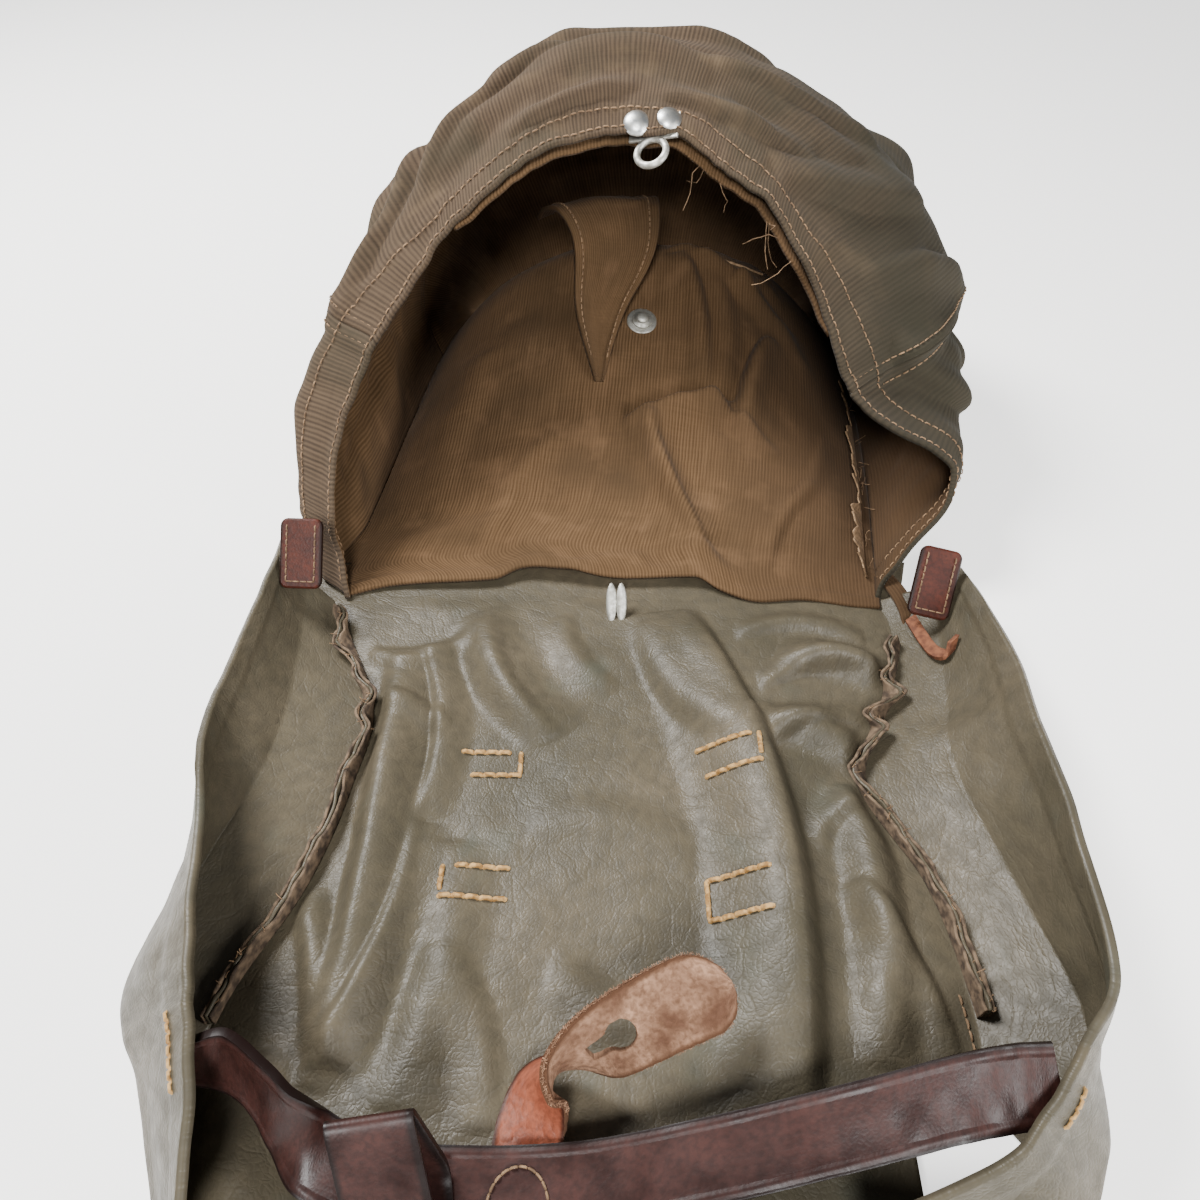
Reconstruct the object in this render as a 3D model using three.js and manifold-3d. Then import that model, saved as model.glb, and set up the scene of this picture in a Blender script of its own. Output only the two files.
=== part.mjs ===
// Military-style bread bag: a canvas pouch lying on its back with its mouth open, and a lid of
// grained vinyl cloth folded open in front of it. Millimetres, +Z up, X to the right, Y into the
// pouch. The origin is the middle of the hinge seam, on the surface that the bag lies on.
import * as THREE from 'three';
import { mergeVertices } from 'three/addons/utils/BufferGeometryUtils.js';
import Module from 'manifold-3d';

const { clamp, lerp, smoothstep, degToRad } = THREE.MathUtils;

// Wall thicknesses and the clearance between neighbouring pieces
const CANVAS = 1.4;
const CANVAS_HEM = 2.8;
const VINYL = 1.6;
const STRAP_LEATHER = 3.2;
const TAB_LEATHER = 2.6;
const GAP = 0.35;

// The pouch: depth from mouth to bottom and girth of the arch, used to lay out folds and hems
const POUCH_DEPTH = 300;
const POUCH_GIRTH = 520;
const HEM_WIDTH = 22;
const LEFT_SEAM = 0.19;
const RIGHT_SEAM = 0.85;
const BOTTOM_SEAM = 0.8;
const FOOT = 0.0015;
const EAR_RISE = 0.29;
const EAR_SPAN_ABOVE = 0.17;
const EAR_SPAN_BELOW = 0.29;
const BACK_END = 0.985;
const HUMP_FLATNESS = 2.6;

// The second layer under the front hem: where it is sewn to the front panel and how far it hangs
const POCKET_FROM = 0.3;
const POCKET_TO = 0.8;
const POCKET_DEPTH = 0.4;
const POCKET_SLACK = 7;

// The lid: how far it reaches under the canvas at the hinge and how long it is
const HINGE_TUCK = 10;
const LID_LENGTH = 300;
const NOTCH_DEPTH = 54;

// Arch sections of the pouch from the mouth to the bottom. at: place along the pouch, footY: where
// the arch stands, crown: its highest point, square: how full its shoulders are.
const ARCHES = [
  { at: 0.0, footY: 1.5, crownX: 14, crownY: 150, crownZ: 182, square: 2.0 },
  { at: 0.18, footY: 44, crownX: 16, crownY: 186, crownZ: 202, square: 2.2 },
  { at: 0.38, footY: 100, crownX: 18, crownY: 222, crownZ: 206, square: 2.4 },
  { at: 0.58, footY: 170, crownX: 20, crownY: 262, crownZ: 188, square: 2.5 },
  { at: 0.76, footY: 230, crownX: 22, crownY: 294, crownZ: 140, square: 2.3 },
  { at: 0.9, footY: 275, crownX: 24, crownY: 314, crownZ: 68, square: 2.0 },
  { at: 1.0, footY: 298, crownX: 24, crownY: 320, crownZ: 5, square: 2.0 },
];

// The arch's two sides at the same places. foot: where each stands, swell: how far it bulges past a
// plain arch, top: the share of the height where the bulge ends, ear: how far the right gusset's
// fold sticks out.
const ARCH_SIDES = [
  { at: 0.0, leftFoot: -140, leftSwell: 24, rightFoot: 147, rightSwell: 10, top: 0.72, ear: 36 },
  { at: 0.18, leftFoot: -136, leftSwell: 15, rightFoot: 153, rightSwell: 36, top: 0.9, ear: 18 },
  { at: 0.38, leftFoot: -129, leftSwell: 11, rightFoot: 160, rightSwell: 53, top: 1.0, ear: 0 },
  { at: 0.58, leftFoot: -121, leftSwell: 15, rightFoot: 166, rightSwell: 36, top: 1.0, ear: 0 },
  { at: 0.76, leftFoot: -113, leftSwell: 18, rightFoot: 166, rightSwell: 22, top: 1.0, ear: 0 },
  { at: 0.9, leftFoot: -104, leftSwell: 10, rightFoot: 156, rightSwell: 10, top: 1.0, ear: 0 },
  { at: 1.0, leftFoot: -95, leftSwell: 2, rightFoot: 147, rightSwell: 2, top: 1.0, ear: 0 },
];

// Height of the back wall's buckled middle above its edges
const HUMP = [
  { at: 0, height: 0 },
  { at: 12, height: 3 },
  { at: 60, height: 25 },
  { at: 120, height: 49 },
  { at: 180, height: 74 },
  { at: 225, height: 88 },
  { at: 262, height: 68 },
  { at: 290, height: 22 },
  { at: 305, height: 2 },
];

// Folds run from one point to another on the flat cloth. bow bends the line sideways, and left and
// right are how wide each flank is, seen along the fold.
const ROOF_FOLDS = [
  { fromX: 180, fromY: -30, toX: 205, toY: -170, bow: 8, height: 9, left: 18, right: 18 },
  { fromX: -130, fromY: -38, toX: 40, toY: -60, bow: -14, height: 6, left: 18, right: 22 },
  { fromX: -70, fromY: -92, toX: 110, toY: -74, bow: 12, height: 7, left: 18, right: 24 },
  { fromX: -205, fromY: -10, toX: -196, toY: -140, bow: 6, height: 7, left: 20, right: 22 },
  { fromX: -165, fromY: -70, toX: -130, toY: -150, bow: 6, height: 9, left: 18, right: 20 },
  { fromX: -120, fromY: -205, toX: 130, toY: -195, bow: 16, height: 9, left: 22, right: 26 },
  { fromX: 120, fromY: -120, toX: 165, toY: -210, bow: -8, height: 8, left: 18, right: 24 },
];
const BACK_FOLDS = [
  { fromX: 64, fromY: 14, toX: 30, toY: 112, bow: 6, height: 5, left: 18, right: 14 },
  { fromX: 72, fromY: 126, toX: 62, toY: 222, bow: -4, height: 6, left: 12, right: 16 },
  { fromX: 88, fromY: 108, toX: 118, toY: 186, bow: 6, height: 6, left: 13, right: 16 },
  { fromX: 46, fromY: 232, toX: 132, toY: 160, bow: 6, height: 5, left: 12, right: 14 },
  { fromX: -96, fromY: 60, toX: -70, toY: 170, bow: 8, height: 5, left: 18, right: 22 },
];
// The inner flap from its root to its point, with its two edges and its height off the back wall
const FLAP_ROLL = 9;
const FLAP = [
  { at: 0, y: 250, lift: 30, left: -40, right: 34 },
  { at: 1, y: 228, lift: 26, left: -31, right: 36 },
  { at: 2, y: 198, lift: 17, left: -16, right: 33 },
  { at: 3, y: 163, lift: 7, left: -14, right: 13 },
  { at: 4, y: 128, lift: 0.6, left: -3, right: 2 },
];
const LID_FOLDS = [
  { fromX: 42, fromY: -6, toX: 70, toY: -246, bow: 19, height: 15, left: 15, right: 37 },
  { fromX: 112, fromY: -112, toX: 104, toY: -232, bow: 4, height: 9, left: 14, right: 16 },
  { fromX: 88, fromY: -36, toX: 150, toY: -62, bow: 7, height: 9, left: 16, right: 14 },
  { fromX: 70, fromY: -74, toX: 126, toY: -104, bow: 6, height: 8, left: 14, right: 14 },
  { fromX: -98, fromY: -38, toX: -98, toY: -232, bow: 2, height: 12, left: 20, right: 12 },
  { fromX: -64, fromY: -8, toX: -20, toY: -86, bow: -8, height: 6, left: 22, right: 18 },
  { fromX: -62, fromY: -140, toX: -72, toY: -246, bow: 4, height: 5, left: 22, right: 16 },
  { fromX: -136, fromY: -232, toX: -108, toY: -296, bow: 0, height: 12, left: 28, right: 20 },
];

// Seam lines between the lid's panel and its wings, by distance from the hinge
const LID_SEAMS = [
  { at: -10, left: -140, right: 150 },
  { at: 20, left: -131, right: 153 },
  { at: 70, left: -110, right: 135 },
  { at: 110, left: -112, right: 117 },
  { at: 160, left: -122, right: 136 },
  { at: 210, left: -143, right: 142 },
  { at: 250, left: -146, right: 141 },
  { at: 300, left: -134, right: 139 },
];

// Sections of the two wings: where each leaves the seam, swells and ends in its hem
const LEFT_WING = [
  { at: 0, seamX: -141, seamY: 2, bellyX: -154, bellyY: 8, bellyZ: 14,
    hemX: -165, hemY: 20, hemZ: 32 },
  { at: 1, seamX: -131, seamY: -20, bellyX: -150, bellyY: -20, bellyZ: 13,
    hemX: -165, hemY: -25, hemZ: 36 },
  { at: 2, seamX: -110, seamY: -72, bellyX: -146, bellyY: -74, bellyZ: 13,
    hemX: -166, hemY: -77, hemZ: 40 },
  { at: 3, seamX: -112, seamY: -110, bellyX: -149, bellyY: -112, bellyZ: 14,
    hemX: -163, hemY: -108, hemZ: 46 },
  { at: 4, seamX: -122, seamY: -158, bellyX: -160, bellyY: -155, bellyZ: 16,
    hemX: -151, hemY: -153, hemZ: 55 },
  { at: 5, seamX: -143, seamY: -212, bellyX: -172, bellyY: -210, bellyZ: 18,
    hemX: -135, hemY: -213, hemZ: 58 },
  { at: 6, seamX: -147, seamY: -245, bellyX: -157, bellyY: -241, bellyZ: 18,
    hemX: -127, hemY: -240, hemZ: 58 },
  { at: 7, seamX: -135, seamY: -298, bellyX: -137, bellyY: -290, bellyZ: 15,
    hemX: -119, hemY: -286, hemZ: 46 },
];
const RIGHT_WING = [
  { at: 0, seamX: 151, seamY: 2, bellyX: 166, bellyY: 0, bellyZ: 13,
    hemX: 183, hemY: -2, hemZ: 30 },
  { at: 1, seamX: 153, seamY: -22, bellyX: 170, bellyY: -24, bellyZ: 12,
    hemX: 185, hemY: -30, hemZ: 36 },
  { at: 2, seamX: 135, seamY: -70, bellyX: 162, bellyY: -72, bellyZ: 12,
    hemX: 185, hemY: -75, hemZ: 44 },
  { at: 3, seamX: 117, seamY: -110, bellyX: 156, bellyY: -108, bellyZ: 13,
    hemX: 180, hemY: -112, hemZ: 50 },
  { at: 4, seamX: 136, seamY: -160, bellyX: 164, bellyY: -158, bellyZ: 15,
    hemX: 177, hemY: -157, hemZ: 55 },
  { at: 5, seamX: 142, seamY: -209, bellyX: 172, bellyY: -207, bellyZ: 20,
    hemX: 172, hemY: -213, hemZ: 54 },
  { at: 6, seamX: 143, seamY: -243, bellyX: 169, bellyY: -238, bellyZ: 24,
    hemX: 149, hemY: -243, hemZ: 54 },
  { at: 7, seamX: 151, seamY: -268, bellyX: 162, bellyY: -264, bellyZ: 22,
    hemX: 134, hemY: -261, hemZ: 51 },
  { at: 8, seamX: 140, seamY: -291, bellyX: 141, bellyY: -287, bellyZ: 20,
    hemX: 116, hemY: -274, hemZ: 47 },
  { at: 9, seamX: 82, seamY: -306, bellyX: 80, bellyY: -302, bellyZ: 18,
    hemX: 76, hemY: -287, hemZ: 41 },
];

// The seam allowances: how far they sway to either side, by distance from the hinge
const SEAM_HEIGHT = 8;
const SEAM_THICKNESS = 3;
const SEAM_CLEAR = 1.6;
const SEAM_WAVE = 2.9;
const LEFT_CRUMPLE = [
  { at: 8, sway: 2 },
  { at: 30, sway: 3.2 },
  { at: 70, sway: 1.2 },
  { at: 216, sway: 0.5 },
];
const RIGHT_CRUMPLE = [
  { at: 30, sway: 2 },
  { at: 60, sway: 3 },
  { at: 105, sway: 3.2 },
  { at: 135, sway: 0.8 },
  { at: 214, sway: 0.4 },
];

// Metal pieces
const EYE_AROUND = 0.528;
const EYE_RADIUS = 8.5;
const EYE_WIRE = 4.2;
const EYE_PLATE = 1.6;
const EYE_PLATE_WIDTH = 26;
const EYE_PLATE_DEPTH = 15;
const RIVET_PROFILE = [[0, 0], [6.8, 0], [6.8, 0.8], [5.4, 2.3], [2.7, 3.2], [0, 3.4]];
const RIVET_SPACING = 19;
const RIVET_INSET = 9;
const STUD_X = 25;
const STUD_Y = 169;
const WASHER = 0.8;
const WASHER_RADIUS = 9;
const STUD_PROFILE = [[0, 0], [6, 0], [6, 1.2], [3.6, 1.8], [3.6, 3.4], [2.6, 4.2], [0, 4.3]];
const STAPLE_X = 8.5;
const STAPLE_WIDTH = 5.6;
const STAPLE_WIRE = 3.6;
const STAPLE_FOOT_Y = -15;
const STAPLE_TOP_Y = 0;
const STAPLE_TOP_Z = 17;
const HOOK_WIDTH = 6;
const HOOK_IRON = 2.4;
const HOOK = [
  { at: 0, midX: 157, midY: -20, midZ: 12.4, acrossX: 0.85, acrossY: 0.45, acrossZ: 0.3 },
  { at: 1, midX: 160, midY: -34, midZ: 12.8, acrossX: 0.85, acrossY: 0.45, acrossZ: 0.3 },
  { at: 2, midX: 163, midY: -44, midZ: 14.2, acrossX: 0.75, acrossY: 0.6, acrossZ: 0.3 },
  { at: 3, midX: 167.4, midY: -48, midZ: 17.6, acrossX: 0.75, acrossY: 0.6, acrossZ: 0.3 },
  { at: 4, midX: 170, midY: -43, midZ: 23, acrossX: 0.75, acrossY: 0.6, acrossZ: 0.3 },
];

// Leather pieces
const CORNER_TAB = 4;
const CORNER_TAB_WIDTH = 21;
const CORNER_TAB_LENGTH = 35;
const CORNER_ROUNDING = 4;
const CORNER_TABS = [
  { name: 'corner_tab_left', x: -149, y: 0.5, z: 38, tilt: degToRad(46), lean: degToRad(-2) },
  { name: 'corner_tab_right', x: 166, y: -12.1, z: 29.8, tilt: degToRad(46), lean: degToRad(-13) },
];
const KEEPER_PLACE = 0.41;
const KEEPER_WIDTH = 26;
const KEEPER_LEATHER = 2.2;
const KEEPER_ROUNDING = 8;
const KEEPER_YAW = 12;
const KEEPER_LEAN = -0.25;
const KEEPER_CORNERS = [[-38, 0], [4, 0], [17, 42]];

// Route of the closure tab, which twists over on its way from the root to the suede end
const TAB_ROOT_HALF = 10;
const TAB_HALF = 14.5;
const TAB_FLARE = 3;
const TAB_TIP = 0.02;
const TAB = [
  { at: 0, midX: -27, midY: -280, midZ: 9.9, acrossX: 1, acrossY: 0, acrossZ: 0 },
  { at: 1, midX: -25, midY: -262, midZ: 9.8, acrossX: 1, acrossY: 0, acrossZ: 0 },
  { at: 2, midX: -21, midY: -244.6, midZ: 14.8, acrossX: 0.74, acrossY: -0.4, acrossZ: 0.54 },
  { at: 3, midX: -17.5, midY: -240.5, midZ: 21.5, acrossX: 0.09, acrossY: -0.69, acrossZ: 0.72 },
  { at: 4, midX: -11, midY: -237.5, midZ: 27, acrossX: -0.45, acrossY: -0.2, acrossZ: 0.85 },
  { at: 5, midX: 2, midY: -232, midZ: 31, acrossX: -0.5, acrossY: 0.45, acrossZ: 0.74 },
  { at: 6, midX: 19, midY: -223.5, midZ: 32.5, acrossX: -0.48, acrossY: 0.66, acrossZ: 0.58 },
  { at: 7, midX: 34, midY: -217, midZ: 33, acrossX: -0.47, acrossY: 0.75, acrossZ: 0.46 },
  { at: 8, midX: 46, midY: -212.5, midZ: 32.5, acrossX: -0.47, acrossY: 0.78, acrossZ: 0.42 },
];
const KEYHOLE_PLACE = 5.3;
const KEYHOLE_RADIUS = 6.2;
const SLIT_HALF = 3;
const SLIT_LENGTH = 11;

// Route of the cross strap's middle line, with the direction of its width
const STRAP_WIDTH = 25;
const STRAP = [
  { at: 0, midX: -137, midY: -241, midZ: 42, acrossX: 0.55, acrossY: 0.2, acrossZ: 0.81 },
  { at: 1, midX: -117, midY: -243, midZ: 43, acrossX: 0.1, acrossY: 0.4, acrossZ: 0.91 },
  { at: 2, midX: -101, midY: -256, midZ: 31, acrossX: 0.4, acrossY: 0.4, acrossZ: 0.82 },
  { at: 3, midX: -88, midY: -265, midZ: 21, acrossX: 0.3, acrossY: 0.92, acrossZ: 0.25 },
  { at: 4, midX: -64, midY: -271, midZ: 15, acrossX: 0, acrossY: 0.99, acrossZ: 0.12 },
  { at: 5, midX: -13, midY: -271, midZ: 14, acrossX: 0, acrossY: 0.99, acrossZ: 0.1 },
  { at: 6, midX: 32, midY: -265, midZ: 18, acrossX: 0, acrossY: 0.99, acrossZ: 0.12 },
  { at: 7, midX: 80, midY: -257, midZ: 27, acrossX: 0, acrossY: 0.97, acrossZ: 0.24 },
  { at: 8, midX: 111, midY: -252, midZ: 37, acrossX: 0, acrossY: 0.93, acrossZ: 0.36 },
  { at: 9, midX: 130, midY: -250, midZ: 43, acrossX: -0.05, acrossY: 0.88, acrossZ: 0.47 },
  { at: 10, midX: 143.6, midY: -250, midZ: 46, acrossX: -0.1, acrossY: 0.85, acrossZ: 0.52 },
];

// Colours and finishes
const canvas = new THREE.MeshStandardMaterial({ color: '#5f4c39', roughness: 0.95, metalness: 0 });
const vinyl = new THREE.MeshStandardMaterial({ color: '#5b564b', roughness: 0.5, metalness: 0 });
const strapLeather = new THREE.MeshStandardMaterial({ color: '#3d2421', roughness: 0.45, metalness: 0 });
const tabLeather = new THREE.MeshStandardMaterial({ color: '#6b4631', roughness: 0.8, metalness: 0 });
const zinc = new THREE.MeshStandardMaterial({ color: '#a8a9a6', roughness: 0.4, metalness: 1 });
const chrome = new THREE.MeshStandardMaterial({ color: '#c9cbcc', roughness: 0.15, metalness: 1 });
const rust = new THREE.MeshStandardMaterial({ color: '#7a4a34', roughness: 0.85, metalness: 0.5 });

const bag = new THREE.Group();

function addPiece(name, geometry, material) {
  const mesh = new THREE.Mesh(geometry, material);
  mesh.name = name;
  bag.add(mesh);
  return mesh;
}

// One column of a table at any place, on a smooth curve through its rows
function column(rows, place, name) {
  const last = rows.length - 1;
  let k = 0;
  while (k < last - 1 && place > rows[k + 1].at) k += 1;
  const a = rows[k];
  const b = rows[k + 1];
  const before = rows[Math.max(k - 1, 0)];
  const after = rows[Math.min(k + 2, last)];
  const span = b.at - a.at;
  const t = clamp((place - a.at) / span, 0, 1);
  const slopeA = ((b[name] - before[name]) / (b.at - before.at)) * span;
  const slopeB = ((after[name] - a[name]) / (after.at - a.at)) * span;
  const t2 = t * t;
  const t3 = t2 * t;
  return (2 * t3 - 3 * t2 + 1) * a[name] + (t3 - 2 * t2 + t) * slopeA
    + (3 * t2 - 2 * t3) * b[name] + (t3 - t2) * slopeB;
}

// A point whose x, y and z are three columns of one table
function rowPoint(rows, place, stem) {
  return new THREE.Vector3(
    column(rows, place, `${stem}X`),
    column(rows, place, `${stem}Y`),
    column(rows, place, `${stem}Z`),
  );
}

// Height of all folds at one point of the flat cloth: a smooth hump across each fold's line that
// fades out towards both ends
function foldHeight(folds, x, y) {
  let total = 0;
  for (const fold of folds) {
    const runX = fold.toX - fold.fromX;
    const runY = fold.toY - fold.fromY;
    const length = Math.hypot(runX, runY);
    const along = ((x - fold.fromX) * runX + (y - fold.fromY) * runY) / (length * length);
    if (along > 0 && along < 1) {
      const ends = Math.sin(Math.PI * along);
      const aside = ((x - fold.fromX) * -runY + (y - fold.fromY) * runX) / length - fold.bow * ends;
      const flank = aside > 0 ? fold.left : fold.right;
      const reach = clamp(Math.abs(aside) / flank, 0, 1);
      total += fold.height * Math.sqrt(ends) * 0.5 * (1 + Math.cos(Math.PI * reach));
    }
  }
  return total;
}

// Unit normal of a surface function, by small steps along both its directions
function normalAt(surface, u, v) {
  const step = 1e-3;
  const across = surface(u + step, v).sub(surface(u - step, v));
  const along = surface(u, v + step).sub(surface(u, v - step));
  return across.cross(along).normalize();
}

// A cloth or leather wall: a flat box bent onto a surface, half its thickness on each side
function wall(surface, thickness, acrossSteps, alongSteps) {
  const box = new THREE.BoxGeometry(1, 1, 1, acrossSteps, alongSteps, 1);
  box.deleteAttribute('normal');
  box.deleteAttribute('uv');
  const geometry = mergeVertices(box, 1e-5);
  const position = geometry.attributes.position;
  for (let k = 0; k < position.count; k += 1) {
    const u = position.getX(k) + 0.5;
    const v = position.getY(k) + 0.5;
    const offset = position.getZ(k) * (typeof thickness === 'function' ? thickness(u, v) : thickness);
    const point = surface(u, v).addScaledVector(normalAt(surface, u, v), offset);
    position.setXYZ(k, point.x, point.y, point.z);
  }
  return geometry;
}

// Canvas lies on the vinyl at the hinge and on the ground further in
function canvasBase(y) {
  return lerp(VINYL + GAP, 0, smoothstep(y, HINGE_TUCK + 4, HINGE_TUCK + 24));
}

// The arch of the pouch: around runs from the left foot to the right one, at from mouth to bottom
function arch(around, at) {
  const turn = Math.PI * (1 - clamp(around, 0, 1));
  const square = column(ARCHES, at, 'square');
  const rise = Math.sin(turn);
  const spread = (1 - rise ** square) ** (1 / square);
  const [side, outward] = turn > Math.PI / 2 ? ['left', -1] : ['right', 1];
  const swell = column(ARCH_SIDES, at, `${side}Swell`) * outward;
  const bulge = Math.sin(Math.PI * clamp(rise / column(ARCH_SIDES, at, 'top'), 0, 1));
  const earSpan = rise > EAR_RISE ? EAR_SPAN_ABOVE : EAR_SPAN_BELOW;
  const earReach = clamp(Math.abs(rise - EAR_RISE) / earSpan, 0, 1);
  const earShare = side === 'left' ? 0 : Math.cos(earReach * Math.PI / 2) ** 2;
  const footY = column(ARCHES, at, 'footY');
  const plain = lerp(column(ARCHES, at, 'crownX'), column(ARCH_SIDES, at, `${side}Foot`), spread);
  return new THREE.Vector3(
    plain + swell * bulge + column(ARCH_SIDES, at, 'ear') * earShare,
    lerp(footY, column(ARCHES, at, 'crownY'), rise),
    canvasBase(footY) + CANVAS / 2 + rise * column(ARCHES, at, 'crownZ'),
  );
}

// The arch with its folds pushed outwards
function foldedArch(around, at) {
  const outward = normalAt(arch, clamp(around, 0.01, 0.99), clamp(at, 0.01, 0.99));
  const push = foldHeight(ROOF_FOLDS, (around - 0.5) * POUCH_GIRTH, -at * POUCH_DEPTH);
  return arch(around, at).addScaledVector(outward, push);
}

// One panel cut from the arch between two seams
function archPanel(fromAround, toAround, fromAt, toAt) {
  const aroundGap = GAP / POUCH_GIRTH;
  const atGap = GAP / POUCH_DEPTH;
  return (u, v) => foldedArch(
    lerp(fromAround + aroundGap, toAround - aroundGap, u),
    lerp(fromAt + atGap, toAt - atGap, v),
  );
}

function hemThickness(fromAt, toAt) {
  return (u, v) => (lerp(fromAt, toAt, v) * POUCH_DEPTH < HEM_WIDTH ? CANVAS_HEM : CANVAS);
}

function makePouch() {
  const hem = hemThickness(0, BOTTOM_SEAM);
  addPiece('gusset_left', wall(archPanel(FOOT, LEFT_SEAM, 0, BOTTOM_SEAM), hem, 7, 12), canvas);
  addPiece('pouch_front', wall(archPanel(LEFT_SEAM, RIGHT_SEAM, 0, BOTTOM_SEAM), hem, 26, 12), canvas);
  addPiece('gusset_right', wall(archPanel(RIGHT_SEAM, 1 - FOOT, 0, BOTTOM_SEAM), hem, 9, 12), canvas);
  addPiece('pouch_bottom', wall(archPanel(FOOT, 1 - FOOT, BOTTOM_SEAM, 1), CANVAS, 26, 4), canvas);
  addPiece('pouch_back', wall(backWall, CANVAS, 16, 17), canvas);
  addPiece('pocket_wall', wall(pocketWall, CANVAS, 16, 4), canvas);
  addPiece('inner_flap', wall(innerFlap, CANVAS, 6, 8), canvas);
}

// The back wall: its edges lie on the ground between the arch's feet, its middle is buckled up
function backWall(u, v) {
  const edgeInset = CANVAS / 2 + GAP;
  const at = lerp(0, BACK_END, v);
  const y = column(ARCHES, at, 'footY');
  const left = column(ARCH_SIDES, at, 'leftFoot') + edgeInset;
  const right = column(ARCH_SIDES, at, 'rightFoot') - edgeInset;
  const x = lerp(left, right, u);
  const middle = 1 - Math.abs(2 * u - 1) ** HUMP_FLATNESS;
  const rise = (column(HUMP, y, 'height') + foldHeight(BACK_FOLDS, x, y)) * middle;
  return new THREE.Vector3(x, y, canvasBase(y) + CANVAS / 2 + rise);
}

// The point of the back wall at a given place across and depth, found by halving both ranges
function onBackWall(x, y) {
  let [lowU, highU, lowV, highV] = [0, 1, 0, 1];
  for (let k = 0; k < 30; k += 1) {
    const u = (lowU + highU) / 2;
    const v = (lowV + highV) / 2;
    const point = backWall(u, v);
    if (point.y < y) lowV = v; else highV = v;
    if (point.x < x) lowU = u; else highU = u;
  }
  return { u: lowU, v: lowV, point: backWall(lowU, lowV) };
}

// The pointed flap lies on the back wall, lifted at its root and rolled along its left edge
function innerFlap(u, v) {
  const place = v * (FLAP.length - 1);
  const x = lerp(column(FLAP, place, 'left'), column(FLAP, place, 'right'), u);
  const { point } = onBackWall(x, column(FLAP, place, 'y'));
  const roll = FLAP_ROLL * (1 - u) ** 3 * Math.sin(Math.PI * clamp(v, 0, 1));
  point.z += CANVAS + GAP + column(FLAP, place, 'lift') + roll;
  return point;
}

// The second canvas layer under the front panel, sewn to it along its sides and its far edge
function pocketWall(u, v) {
  const around = lerp(POCKET_FROM, POCKET_TO, u);
  const at = lerp(0.003, POCKET_DEPTH, v);
  const slack = Math.sin(Math.PI * clamp(u, 0, 1)) ** 0.5 * (1 - clamp(v, 0, 1));
  const inset = CANVAS_HEM / 2 + CANVAS / 2 + 2 * GAP + POCKET_SLACK * slack;
  return foldedArch(around, at).addScaledVector(normalAt(foldedArch, around, at), -inset);
}

// The lid's main panel, flat on the ground apart from its folds
function lidPanel(u, v) {
  const end = LID_LENGTH - NOTCH_DEPTH * smoothstep(u, 0.85, 0.91);
  const along = lerp(-HINGE_TUCK, end, v);
  const left = column(LID_SEAMS, along, 'left') + GAP;
  const right = column(LID_SEAMS, along, 'right') - GAP;
  const x = lerp(left, right, u);
  return new THREE.Vector3(x, -along, VINYL / 2 + foldHeight(LID_FOLDS, x, -along) * edgeFade(u));
}

// Folds flatten out where the panel is sewn to its wings
function edgeFade(u) {
  return smoothstep(u, 0, 0.05) * smoothstep(1 - u, 0, 0.05);
}

// A wing: a curve from the seam through its belly to its hem, at each place along the lid
function lidWing(rows, outward) {
  const last = rows.length - 1;
  return (u, v) => {
    const place = v * last;
    const seam = new THREE.Vector3(
      column(rows, place, 'seamX') + outward * (GAP + VINYL / 2),
      column(rows, place, 'seamY'),
      VINYL / 2,
    );
    const belly = rowPoint(rows, place, 'belly');
    const hem = rowPoint(rows, place, 'hem');
    return seam.multiplyScalar((2 * u - 1) * (u - 1))
      .addScaledVector(belly, 4 * u * (1 - u))
      .addScaledVector(hem, u * (2 * u - 1));
  };
}

function makeLid() {
  addPiece('lid_panel', wall(lidPanel, VINYL, 24, 21), vinyl);
  addPiece('lid_wing_left', wall(lidWing(LEFT_WING, -1), VINYL, 6, 21), vinyl);
  addPiece('lid_wing_right', wall(lidWing(RIGHT_WING, 1), VINYL, 6, 24), vinyl);
  addPiece('seam_edge_left', wall(seamEdge('left', LEFT_CRUMPLE), SEAM_THICKNESS, 1, 48), vinyl);
  addPiece('seam_edge_right', wall(seamEdge('right', RIGHT_CRUMPLE), SEAM_THICKNESS, 1, 48), vinyl);
}

// The raw seam allowances stand up along the seams and are crumpled more in places
function seamEdge(side, crumple) {
  const first = crumple[0].at;
  const last = crumple[crumple.length - 1].at;
  return (u, v) => {
    const along = lerp(first, last, v);
    const wave = Math.sin(along / SEAM_WAVE) + 0.5 * Math.sin(along / SEAM_WAVE * 1.7 + 1);
    const x = column(LID_SEAMS, along, side) + column(crumple, along, 'sway') * wave * u;
    return new THREE.Vector3(x, -along, VINYL + SEAM_CLEAR + SEAM_HEIGHT * u);
  };
}

// A frame on a surface: x across, y along, z out of the surface
function frameOn(surface, u, v, lift) {
  const step = 1e-3;
  const across = surface(u + step, v).sub(surface(u - step, v)).normalize();
  const out = normalAt(surface, u, v);
  const along = new THREE.Vector3().crossVectors(out, across);
  const origin = surface(u, v).addScaledVector(out, lift);
  return new THREE.Matrix4().makeBasis(across, along, out).setPosition(origin);
}

// A mesh placed by a frame
function addPlaced(name, geometry, material, frame) {
  const mesh = addPiece(name, geometry, material);
  frame.decompose(mesh.position, mesh.quaternion, mesh.scale);
}

// A turned piece on its own z axis, from a profile of radius and height pairs
function turned(profile, sides) {
  const points = profile.map(([radius, height]) => new THREE.Vector2(radius, height));
  return new THREE.LatheGeometry(points, sides).rotateX(Math.PI / 2);
}

// Solids for joining and cutting
const wasm = await Module();
wasm.setup();

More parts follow.
